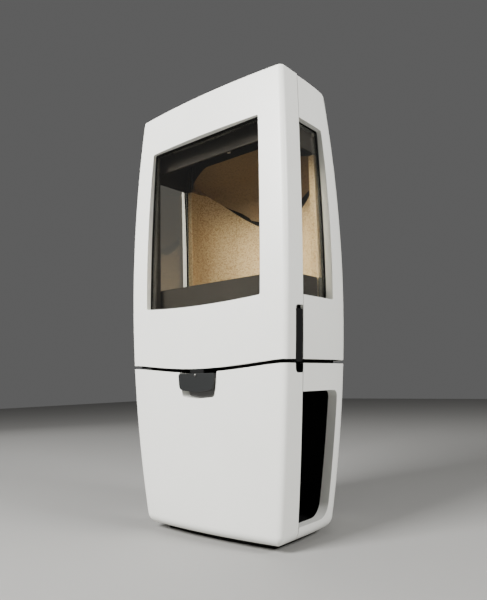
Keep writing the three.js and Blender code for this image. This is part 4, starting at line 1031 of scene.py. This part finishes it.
def side_casting(name, rows, opening, grow, layer_place, lip_x=None):
    """Right side casting. opening is (rear edge's depth at a height, low radius, high radius); grow is
    how much wider the opening is at the back of the wall; layer_place turns a row into height and
    inset for a layer; lip_x sets the plane that the reveal ends on."""
    rear_edge, radius_low, radius_high = opening
    biggest = max(radius_low, radius_high)
    columns = zone_lines("before", 6, 0)
    columns += [("near", biggest * share) for share in reversed(shares(4)[:-1])]
    columns += zone_lines("after", 8) + zone_lines("corner", 6)
    columns += zone_lines("back", 10) + zone_lines("flat", 2)
    rear_column = columns.index(("near", 0.0))
    opening_at = [index for index, row in enumerate(rows) if row[0] == "opening"]
    first_open, last_open = opening_at[0] - 1, opening_at[-1]

    def is_open(i, j):
        return i < rear_column and first_open <= j < last_open

    def on_surface(column, z, inset, layer):
        x, y = flank_point(column, z, inset)
        if lip_x and layer in ("lip", "heel"):
            x = lip_x
        return x, y, z

    def place(column, row, layer):
        z, inset = layer_place(row, layer)
        zone, value = column
        rear = rear_edge(z) + growth(layer, grow)
        index = rows.index(row)
        if zone == "near" and first_open <= index <= last_open:
            for edge_row, radius, up in ((first_open, radius_low, 1), (last_open, radius_high, -1)):
                edge_z = layer_place(rows[edge_row], layer)[0]
                from_edge = abs(z - edge_z)
                if value == 0.0 and from_edge < radius:
                    back, rise = rounded_corner(from_edge, radius, True)
                    return on_surface(("flank", rear + back), edge_z + up * rise, inset, layer)
                if index == edge_row and value < radius:
                    back, rise = rounded_corner(value, radius, False)
                    return on_surface(("flank", rear + back), z + up * rise, inset, layer)
        if zone == "before":
            y = lerp(seam_y(z) + SEAM, rear - biggest, value)
            return on_surface(("flank", y), z, inset, layer)
        if zone == "near":
            return on_surface(("flank", rear - value), z, inset, layer)
        if zone == "after":
            return on_surface(("flank", lerp(rear, rear_corner_y(z), value)), z, inset, layer)
        return on_surface(column, z, inset, layer)

    return sheet_casting(name, columns, rows, place, is_open)


def opening_rows(height, radius_low, radius_high, middle):
    """Shares up an opening's height, closer together where its corners are round."""
    low = [radius_low / height * share for share in shares(4, 1)]
    high = [1 - radius_high / height * share for share in reversed(shares(4))]
    between = [lerp(low[-1], high[0], share) for share in shares(middle, 1)[:-1]]
    return [("opening", share) for share in low + between + high]


def upper_side_casting():
    """Right upper side casting with the side window's opening."""
    height = SIDE_WINDOW_TOP - SIDE_WINDOW_BOTTOM
    rows = zone_lines("skirt", 5, 0) + opening_rows(height, WINDOW_RADIUS, WINDOW_RADIUS, 12)
    rows += zone_lines("crown", 5) + zone_lines("roll", 3)
    crown = SIDE_TOP - SIDE_ROLL

    def layer_place(row, layer):
        grow = growth(layer, WALL)
        low, high = SIDE_WINDOW_BOTTOM - grow, SIDE_WINDOW_TOP + grow
        kind, share = row
        inset = WALL if layer == "inner" else 0
        if kind == "skirt":
            return lerp(GAP_TOP, low, share), inset
        if kind == "opening":
            return lerp(low, high, share), inset
        if kind == "crown":
            return lerp(high, crown, share), inset
        if layer == "inner":
            return crown + SIDE_ROLL * share, WALL
        rise, inset = rolled(SIDE_ROLL, share)
        return crown + rise, inset

    opening = (side_window_rear, WINDOW_RADIUS, WINDOW_RADIUS)
    return side_casting("upper_side_right_enamel", rows, opening, WALL, layer_place, SIDE_LIP_X)


def lower_side_casting():
    """Right lower side casting with the log store's opening and its deep reveal."""
    height = NICHE_TOP - NICHE_BOTTOM
    rows = [("sole", 0.0)] + zone_lines("roll", 7, 0) + [("foot", 1.0)]
    rows += opening_rows(height, NICHE_BOTTOM_RADIUS, NICHE_TOP_RADIUS, 8) + zone_lines("crown", 4)
    inner_roll_z, inner_roll_inset = (30.2, 32.5), (SOLE_INSET - 1, WALL + 2)

    def layer_place(row, layer):
        inner = layer == "inner"
        grow = growth(layer, NICHE_WALL)
        low, high = NICHE_BOTTOM - grow, NICHE_TOP + grow
        kind, share = row
        inset = WALL if inner else REVEAL if layer in ("lip", "heel") else 0
        if kind == "sole":
            return SOLE_INSIDE if inner else SHELL_BOTTOM, SOLE_INSET
        if kind == "roll" and inner:
            return lerp(*inner_roll_z, share), lerp(*inner_roll_inset, share)
        if kind == "roll":
            drop, inset = rolled(SOLE_ROLL, 1 - share)
            return SHELL_BOTTOM + SOLE_ROLL - drop, inset
        if kind == "foot":
            return low, inset
        if kind == "opening":
            return lerp(low, high, share), inset
        return lerp(high, GAP_BOTTOM, share), inset

    def rear_edge(z):
        return lerp(NICHE_REAR_BOTTOM, NICHE_REAR_TOP, (z - NICHE_BOTTOM) / height)

    opening = (rear_edge, NICHE_BOTTOM_RADIUS, NICHE_TOP_RADIUS)
    return side_casting("lower_side_right_enamel", rows, opening, NICHE_WALL, layer_place)


# ------------------------------------------------------------------ operators


class STOVE_OT_door_casting(bpy.types.Operator):
    """Door casting with its window reveal, handle recess and hinge ear"""

    bl_idname = "stove.door_casting"
    bl_label = "Door casting"
    bl_options = {"REGISTER", "UNDO"}

    def execute(self, context):
        door = door_casting()
        wall_depth = RECESS_DEPTH + RECESS_WALL
        wall = recess_prism("recess_wall", grow=RECESS_WALL, inner_inset=wall_depth, outer_inset=3)
        combine(door, wall, "UNION")
        recess = recess_prism("recess", grow=0, inner_inset=RECESS_DEPTH, outer_inset=-20)
        combine(door, recess, "DIFFERENCE")
        combine(door, hinge_ear(), "UNION")
        centre = (HINGE_X, HINGE_Y, DOOR_TOP)
        pin_hole = cylinder("pin_hole", PIN_HOLE_RADIUS, centre, depth=30, vertices=32)
        combine(door, pin_hole, "DIFFERENCE")
        edge = context.scene.stove_sizes.casting_edge
        finish_piece(context, door, "enamel", "door", ["door_casting"], edge, 3)
        return {"FINISHED"}


class STOVE_OT_lower_front(bpy.types.Operator):
    """Lower front casting with the scooped notch for the fingers"""

    bl_idname = "stove.lower_front"
    bl_label = "Lower front casting"
    bl_options = {"REGISTER", "UNDO"}

    def execute(self, context):
        panel = lower_front_casting()
        combine(panel, notch_backing(), "UNION")
        combine(panel, notch_scoop(), "DIFFERENCE")
        combine(panel, cube("flange_slot", *FLANGE_SLOT), "DIFFERENCE")
        combine(panel, finger_slot(), "DIFFERENCE")
        edge = context.scene.stove_sizes.casting_edge
        finish_piece(context, panel, "enamel", "stove", ["lower_front_panel"], edge, 3)
        return {"FINISHED"}


class STOVE_OT_side_castings(bpy.types.Operator):
    """Upper and lower side castings, right and left"""

    bl_idname = "stove.side_castings"
    bl_label = "Side castings"
    bl_options = {"REGISTER", "UNDO"}

    def execute(self, context):
        edge = context.scene.stove_sizes.casting_edge
        for build, node in ((upper_side_casting, "upper_side"), (lower_side_casting, "lower_side")):
            right = build()
            left = mirrored_copy(right, node + "_left_enamel")
            if node == "upper_side":
                room = ((-260, -150), (-300, HINGE_Y + EAR_ROOM), (TOP_PLATE_TOP, 1100))
                pocket = cube("ear_pocket", *room)
                combine(left, pocket, "DIFFERENCE")
            finish_piece(context, right, "enamel", "stove", [node + "_right"], edge, 3)
            finish_piece(context, left, "enamel", "stove", [node + "_left"], edge, 3)
        return {"FINISHED"}


CAST_PLATES = (
    "base_plate",
    "air_box",
    "hearth_base",
    "hearth_plate",
    "front_frame",
    "log_retainer",
    "airwash_deflector",
    "firebox_top",
    "top_plate",
    "rear_outlet_cover",
    "door_inner_frame",
    "flue_collar",
    "grate",
)
SHEETS = (
    "lower_back_cover",
    "rear_heat_shield",
    "log_store_liner",
    "support_plate",
    "ash_box",
    "ash_pan",
    "side_frame_right",
    "side_frame_left",
    "firebox_casing",
    "door_glass_frame",
    "hinge_arm_lower",
)


class STOVE_OT_cast_plates(bpy.types.Operator):
    """Cast-iron plates, frames, deflector, grate and flue collar"""

    bl_idname = "stove.cast_plates"
    bl_label = "Cast plates"
    bl_options = {"REGISTER", "UNDO"}

    def execute(self, context):
        for node in CAST_PLATES:
            dressed(context, node, context.scene.stove_sizes.plate_edge)
        return {"FINISHED"}


def rail_low(x):
    """Height of the rail's lower edge, which falls away smoothly towards the sides."""
    share = min(max((abs(x) - RAIL_FALL_FROM) / (RAIL_FALL_TO - RAIL_FALL_FROM), 0), 1)
    return lerp(RAIL_FRONT_LOW, RAIL_SIDE_LOW, share**2 * (3 - 2 * share))


def baffle_rail():
    """Dark sheet rail on the baffle's front edge, deeper along the swept corners, where it is painted shade
    for the dark under the deflector.
    """
    half = [(*RAIL_CORNER, RAIL_SWEEP), (*RAIL_END, 0)]
    bends = rounded_outline([(-x, y, sweep) for x, y, sweep in reversed(half)] + half, 10)
    path = []
    for start, stop in zip(bends, bends[1:]):
        pieces = max(1, round((stop - start).length / RAIL_STEP))
        path += [start.lerp(stop, k / pieces) for k in range(pieces)]
    path.append(bends[-1])
    rings = []
    for index, (x, y) in enumerate(path):
        along = (path[min(index + 1, len(path) - 1)] - path[max(index - 1, 0)]).normalized()
        back_x, back_y = x - RAIL_THICKNESS * along.y, y + RAIL_THICKNESS * along.x
        low = rail_low(x)
        rings.append([(x, y, low), (x, y, RAIL_TOP), (back_x, back_y, RAIL_TOP), (back_x, back_y, low)])
    return loft("baffle_rail", rings)


def slot_shade_sheet():
    """Black sheet in the finger slot below the handle, open at its top: painted shade for the slot's dark
    hollow.
    """

    def path(margin):
        front = HANDLE_FRONT + margin
        low = FINGER_SLOT_BOTTOM + margin
        rear = seam_y(SHADE_SHEET_MIDDLE) + SEAM - SHADE_SHEET_GAP - margin
        corners = [
            (front + 0.05, SHADE_SHEET_TOP, 0),
            (front + FINGER_SLOT_LEAN, low, SHADE_SHEET_FRONT_RADIUS),
            (rear, low, SHADE_SHEET_REAR_RADIUS),
            (rear, SHADE_SHEET_TOP, 0),
        ]
        return rounded_outline(corners)

    outline = path(SHADE_SHEET_GAP) + list(reversed(path(SHADE_SHEET_GAP + SHADE_SHEET_THICKNESS)))
    rings = [[(half_width(z) - inset, y, z) for y, z in outline] for inset in SHADE_SHEET_INSETS]
    return loft("finger_slot_shade_sheet", rings)


def retainer_end(side, label):
    """Plate that closes the room between one end of the log retainer and the side frame."""
    width = [side * x for x in RETAINER_END_X]
    return cube(f"log_retainer_end_{label}", width, RETAINER_END_Y, RETAINER_END_Z)


class STOVE_OT_sheet_steel(bpy.types.Operator):
    """Sheet-steel boxes, covers, frames, the baffle's rail and the small plates that close gaps"""

    bl_idname = "stove.sheet_steel"
    bl_label = "Sheet steel"
    bl_options = {"REGISTER", "UNDO"}

    def execute(self, context):
        edge = context.scene.stove_sizes.sheet_edge
        for node in SHEETS:
            dressed(context, node, edge)
        # The rail's deeper corners are painted shade for the dark under the deflector.
        finish_piece(context, baffle_rail(), "black_steel", "stove", edge=edge)
        # A black sheet in the finger slot: painted shade for its dark hollow.
        finish_piece(context, slot_shade_sheet(), "black_steel", "stove")
        for side, label in ((1, "right"), (-1, "left")):
            finish_piece(context, retainer_end(side, label), "cast_iron", "stove", edge=edge)
        return {"FINISHED"}


class STOVE_OT_lining(bpy.types.Operator):
    """Vermiculite boards of the firebox and the baffle"""

    bl_idname = "stove.lining"
    bl_label = "Lining"
    bl_options = {"REGISTER", "UNDO"}

    def execute(self, context):
        edge = context.scene.stove_sizes.board_edge
        for node in ("back_liner", "side_liner_right", "side_liner_left"):
            dressed(context, node, edge, 3)
        # The baffle takes the darker board: painted shade for its underside.
        dressed(context, "baffle", edge, 3, look="shaded_baffle")
        return {"FINISHED"}


def front_window(side, top, bottom):
    """Outline of the front window, x and z, made smaller by a margin at each edge."""
    half = half_width(WINDOW_BOTTOM) - WINDOW_MARGIN - side
    corners = []
    for step in range(-4, 5):
        share = step / 4
        low = WINDOW_BOTTOM - WINDOW_DIP * (1 - share**2) + bottom
        corners.append((share * half, low, TAPE_RADIUS if abs(step) == 4 else 0))
    levels = [(z, 0) for z in (560, 620, 680, 740, 800, 850)] + [(WINDOW_TOP - top, TAPE_RADIUS)]
    right = [(half_width(z) - WINDOW_MARGIN - side, z, radius) for z, radius in levels]
    return rounded_outline(corners + right + [(-x, z, radius) for x, z, radius in reversed(right)])


def side_window(front, margin, ends):
    """Outline of the side window behind the seam, y and z, smaller by margins at rear and ends."""
    low, high = SIDE_WINDOW_BOTTOM + ends, SIDE_WINDOW_TOP - ends
    bends = [(side_window_rear(z) - margin, z, 0) for z in (560, 640, 720, 800)]
    first = (side_window_rear(low) - margin, low, TAPE_RADIUS)
    last = (side_window_rear(high) - margin, high, TAPE_RADIUS)
    return rounded_outline([(front, low, 0), first, *bends, last, (front, high, 0)])


def glass_gaskets():
    """Black tape lines round the front glass and the right side glass, on their outer faces. The front
    tape's wide top band is partly painted shade for the dark gap above the deflector.
    """
    front = ring_prism(
        "door_glass_tape",
        front_window(0, 0, 0),
        front_window(TAPE_SIDE, TAPE_TOP, TAPE_BOTTOM),
        lambda x, z: (x, glass_y(z) - TAPE_OUT, z),
        lambda x, z: (x, glass_y(z) + TAPE_SUNK, z),
    )
    side = ring_prism(
        "side_glass_tape_right",
        side_window(SIDE_FRONT, 0, 0),
        side_window(SIDE_FRONT + SIDE_TAPE_FRONT, SIDE_TAPE_REAR, SIDE_TAPE_ENDS),
        lambda y, z: (SIDE_TAPE_FACE, y, z),
        lambda y, z: (SIDE_TAPE_BACK, y, z),
    )
    return front, side


class STOVE_OT_glass(bpy.types.Operator):
    """Front glass, side glasses and the door's rope seal"""

    bl_idname = "stove.glass"
    bl_label = "Glass and seal"
    bl_options = {"REGISTER", "UNDO"}

    def execute(self, context):
        sizes = context.scene.stove_sizes
        for node in ("door_glass", "side_glass_right", "side_glass_left"):
            dressed(context, node, sizes.sheet_edge)
        dressed(context, "door_rope_seal", sizes.rope_round, 4)
        front, right = glass_gaskets()
        left = mirrored_copy(right, "side_glass_tape_left")
        finish_piece(context, front, "rope", "door", look="gasket")
        finish_piece(context, right, "rope", "stove", look="gasket")
        finish_piece(context, left, "rope", "stove", look="gasket")
        return {"FINISHED"}


class STOVE_OT_handle(bpy.types.Operator):
    """Door handle, its pin and the latch tongue"""

    bl_idname = "stove.handle"
    bl_label = "Handle and latch"
    bl_options = {"REGISTER", "UNDO"}

    def execute(self, context):
        sizes = context.scene.stove_sizes
        dressed(context, "door_handle", sizes.board_edge, 4)
        dressed(context, "handle_pin", sizes.sheet_edge)
        dressed(context, "latch_tongue", sizes.plate_edge)
        return {"FINISHED"}


class STOVE_OT_air_lever(bpy.types.Operator):
    """Air lever with its plate, arm and screw, and the control plate behind it"""

    bl_idname = "stove.air_lever"
    bl_label = "Air lever"
    bl_options = {"REGISTER", "UNDO"}

    def execute(self, context):
        sizes = context.scene.stove_sizes
        dressed(context, "air_control_plate", sizes.plate_edge, 3, look="worn_grey")
        for node in ("air_paddle", "air_slide_arm"):
            dressed(context, node, sizes.plate_edge, 3)
        dressed(context, "air_paddle_screw", sizes.sheet_edge)
        return {"FINISHED"}


class STOVE_OT_hinge_pins(bpy.types.Operator):
    """Upper and lower hinge pins"""

    bl_idname = "stove.hinge_pins"
    bl_label = "Hinge pins"
    bl_options = {"REGISTER", "UNDO"}

    def execute(self, context):
        for node in ("hinge_pin_lower", "hinge_pin_upper"):
            dressed(context, node, context.scene.stove_sizes.sheet_edge)
        return {"FINISHED"}


def socket_bolt(context, name, centre, outward, body, radius, shank=0.0):
    """Round bolt head with a recessed top, seated on a face or standing off it on its shank. centre is
    in millimetres, radius and shank are in metres, and outward is the face's normal."""
    height = HEAD_HEIGHT * radius
    bpy.ops.object.select_all(action="DESELECT")
    bpy.ops.mesh.primitive_cylinder_add(
        vertices=24, radius=radius, depth=height, location=(0, 0, height / 2)
    )
    head = bpy.context.object
    head.name = name
    settle(head)
    bpy.ops.object.mode_set(mode="EDIT")
    bpy.ops.mesh.select_all(action="DESELECT")
    bm = bmesh.from_edit_mesh(head.data)
    for face in bm.faces:
        face.select_set(face.normal.z > 0.9)
    bmesh.update_edit_mesh(head.data)
    bpy.ops.mesh.inset(thickness=radius * HEAD_RIM)
    bpy.ops.mesh.extrude_region_move(TRANSFORM_OT_translate={"value": (0, 0, -height * HEAD_RECESS)})
    bpy.ops.object.mode_set(mode="OBJECT")
    if shank:
        head.data.transform(Matrix.Translation((0, 0, shank)))
        reach = shank + height / 2
        middle = (0, 0, (shank / 2 + height / 4) / MM)
        combine(head, cylinder("shank", SHANK_RADIUS * radius / MM, middle, reach / MM), "UNION")
    turn = Vector((0, 0, 1)).rotation_difference(Vector(outward)).to_matrix().to_4x4()
    head.data.transform(Matrix.Translation(Vector(centre) * MM) @ turn)
    return finish_piece(context, head, "bright_steel", body, (), radius * HEAD_BEVEL, 3)


class STOVE_OT_fasteners(bpy.types.Operator):
    """Bolts of the deflector, the back covers and the door's glass frame"""

    bl_idname = "stove.fasteners"
    bl_label = "Fasteners"
    bl_options = {"REGISTER", "UNDO"}

    def execute(self, context):
        radius = context.scene.stove_sizes.bolt_radius
        shield_low, shield_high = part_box("rear_heat_shield")
        cover_low, cover_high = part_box("lower_back_cover")
        deflector_low, deflector_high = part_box("airwash_deflector")
        frame_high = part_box("door_inner_frame")[1]
        sides = ((-1, "left"), (1, "right"))
        places = [
            ("deflector_bolt_right", (deflector_high.x / MM, *DEFLECTOR_BOLT), (1, 0, 0), "stove"),
            ("deflector_bolt_left", (deflector_low.x / MM, *DEFLECTOR_BOLT), (-1, 0, 0), "stove"),
        ]
        for cover, low, high in (("shield", shield_low, shield_high), ("cover", cover_low, cover_high)):
            levels = (("low", low.z / MM + COVER_BOLT_MARGIN), ("high", high.z / MM - COVER_BOLT_MARGIN))
            for side, label in sides:
                for level, z in levels:
                    centre = (side * COVER_BOLT_X, high.y / MM, z)
                    places.append((f"{cover}_bolt_{level}_{label}", centre, (0, 1, 0), "stove"))
        for side, label in sides:
            for level, z in (("low", FRAME_BOLT_LOW), ("high", FRAME_BOLT_HIGH)):
                centre = (side * FRAME_BOLT_X, frame_high.y / MM, z)
                places.append((f"frame_bolt_{level}_{label}", centre, (0, 1, 0), "door"))
        for name, centre, outward, body in places:
            socket_bolt(context, name, centre, outward, body, radius)
        under_shelf = (*HANGING_BOLT, deflector_high.z / MM - HANGING_BOLT_BELOW)
        shank = HANGING_SHANK * MM
        socket_bolt(context, "deflector_bolt_hanging", under_shelf, (0, 0, -1), "stove", radius, shank)
        return {"FINISHED"}


def pale_floor(colours):
    # Painted studio floor: matt and nearly even, so it only shows the stove's soft shadow.
    finish, tree, shader, place = new_finish("pale_floor")
    dark, full = tinted(colours.floor, 0.96), tinted(colours.floor)
    cloud = add_node(tree, "ShaderNodeTexNoise", {"Vector": place, "Scale": FLOOR_CLOUDS})
    tone = add_node(tree, "ShaderNodeMixRGB", {"Fac": cloud.outputs["Fac"], "Color1": dark, "Color2": full})
    feed(tree, shader, {"Base Color": tone.outputs["Color"], "Roughness": 0.8})
    return finish


def aim(thing, target):
    direction = Vector(target) - thing.location
    thing.rotation_euler = direction.to_track_quat("-Z", "Y").to_euler()


class STOVE_OT_stage(bpy.types.Operator):
    """Pale floor, soft lamps and the camera at the photograph's angle"""

    bl_idname = "stove.stage"
    bl_label = "Stage"
    bl_options = {"REGISTER", "UNDO"}

    def execute(self, context):
        self.floor(context)
        self.lamps()
        self.camera(context)
        return {"FINISHED"}

    def floor(self, context):
        bpy.ops.object.select_all(action="DESELECT")
        bpy.ops.mesh.primitive_plane_add(size=context.scene.stove_sizes.floor, location=(0, 0, 0))
        floor = bpy.context.object
        floor.name = "studio_floor"
        floor.data.materials.append(pale_floor(context.scene.stove_colours))

    def lamps(self):
        lamps = (  # name, place, side in metres, power in watts, aim
            ("key_lamp", (-0.45, -2.75, 2.25), 1.2, 300, (0, 0, 0.75)),
            ("side_lamp", (3.1, 0.15, 2.0), 0.8, 125, (0, 0, 0.6)),
            ("top_lamp", (0.3, 0.6, 3.2), 2.2, 15, (0, 0, 0.6)),
            ("back_lamp", (-3.0, 0.8, 1.6), 1.2, 15, (0, 0, 0.6)),
        )
        for name, location, size, power, target in lamps:
            lamp = bpy.data.lights.new(name, "AREA")
            lamp.size = size
            lamp.energy = power
            holder = bpy.data.objects.new(name, lamp)
            bpy.context.scene.collection.objects.link(holder)
            holder.location = location
            aim(holder, target)
        world = bpy.data.worlds.new("studio")
        world.use_nodes = True
        light = {"Color": tinted(linear(STUDIO_GREY)), "Strength": STUDIO_STRENGTH}
        feed(world.node_tree, world.node_tree.nodes["Background"], light)
        bpy.context.scene.world = world

    def camera(self, context):
        yaw, pitch, roll = (math.radians(angle) for angle in (CAMERA_YAW, CAMERA_PITCH, CAMERA_ROLL))
        flat = math.cos(pitch)
        forward = Vector((-math.sin(yaw) * flat, math.cos(yaw) * flat, math.sin(pitch)))
        level = Vector((math.cos(yaw), math.sin(yaw), 0))
        up = level.cross(forward)
        right = math.cos(roll) * level + math.sin(roll) * up
        top = math.cos(roll) * up - math.sin(roll) * level
        lens = bpy.data.cameras.new("photo_camera")
        lens.lens = LENS
        lens.sensor_width = SENSOR
        camera = bpy.data.objects.new("photo_camera", lens)
        context.scene.collection.objects.link(camera)
        turn = Matrix((right, top, -forward)).transposed().to_4x4()
        camera.matrix_world = Matrix.Translation(CAMERA_PLACE) @ turn
        context.scene.camera = camera


OPERATORS = (
    STOVE_OT_door_casting,
    STOVE_OT_lower_front,
    STOVE_OT_side_castings,
    STOVE_OT_cast_plates,
    STOVE_OT_sheet_steel,
    STOVE_OT_lining,
    STOVE_OT_glass,
    STOVE_OT_handle,
    STOVE_OT_air_lever,
    STOVE_OT_hinge_pins,
    STOVE_OT_fasteners,
    STOVE_OT_stage,
)


class STOVE_PT_panel(bpy.types.Panel):
    """Sizes, colours and pieces of the stove"""

    bl_idname = "STOVE_PT_panel"
    bl_label = "Wood stove"
    bl_space_type = "VIEW_3D"
    bl_region_type = "UI"
    bl_category = "Stove"

    def draw(self, context):
        layout = self.layout
        for group in (context.scene.stove_sizes, context.scene.stove_colours):
            box = layout.box()
            for name in group.bl_rna.properties.keys():
                if name not in ("rna_type", "name"):
                    box.prop(group, name)
        for operator in OPERATORS:
            layout.operator(operator.bl_idname)


CLASSES = (StoveSizes, StoveColours, *OPERATORS, STOVE_PT_panel)


def register():
    for cls in CLASSES:
        bpy.utils.register_class(cls)
    bpy.types.Scene.stove_sizes = PointerProperty(type=StoveSizes)
    bpy.types.Scene.stove_colours = PointerProperty(type=StoveColours)


def unregister():
    del bpy.types.Scene.stove_colours
    del bpy.types.Scene.stove_sizes
    for cls in reversed(CLASSES):
        bpy.utils.unregister_class(cls)


def main():
    register()
    for operator in OPERATORS:
        group, name = operator.bl_idname.split(".")
        getattr(getattr(bpy.ops, group), name)()


if __name__ == "__main__":
    main()
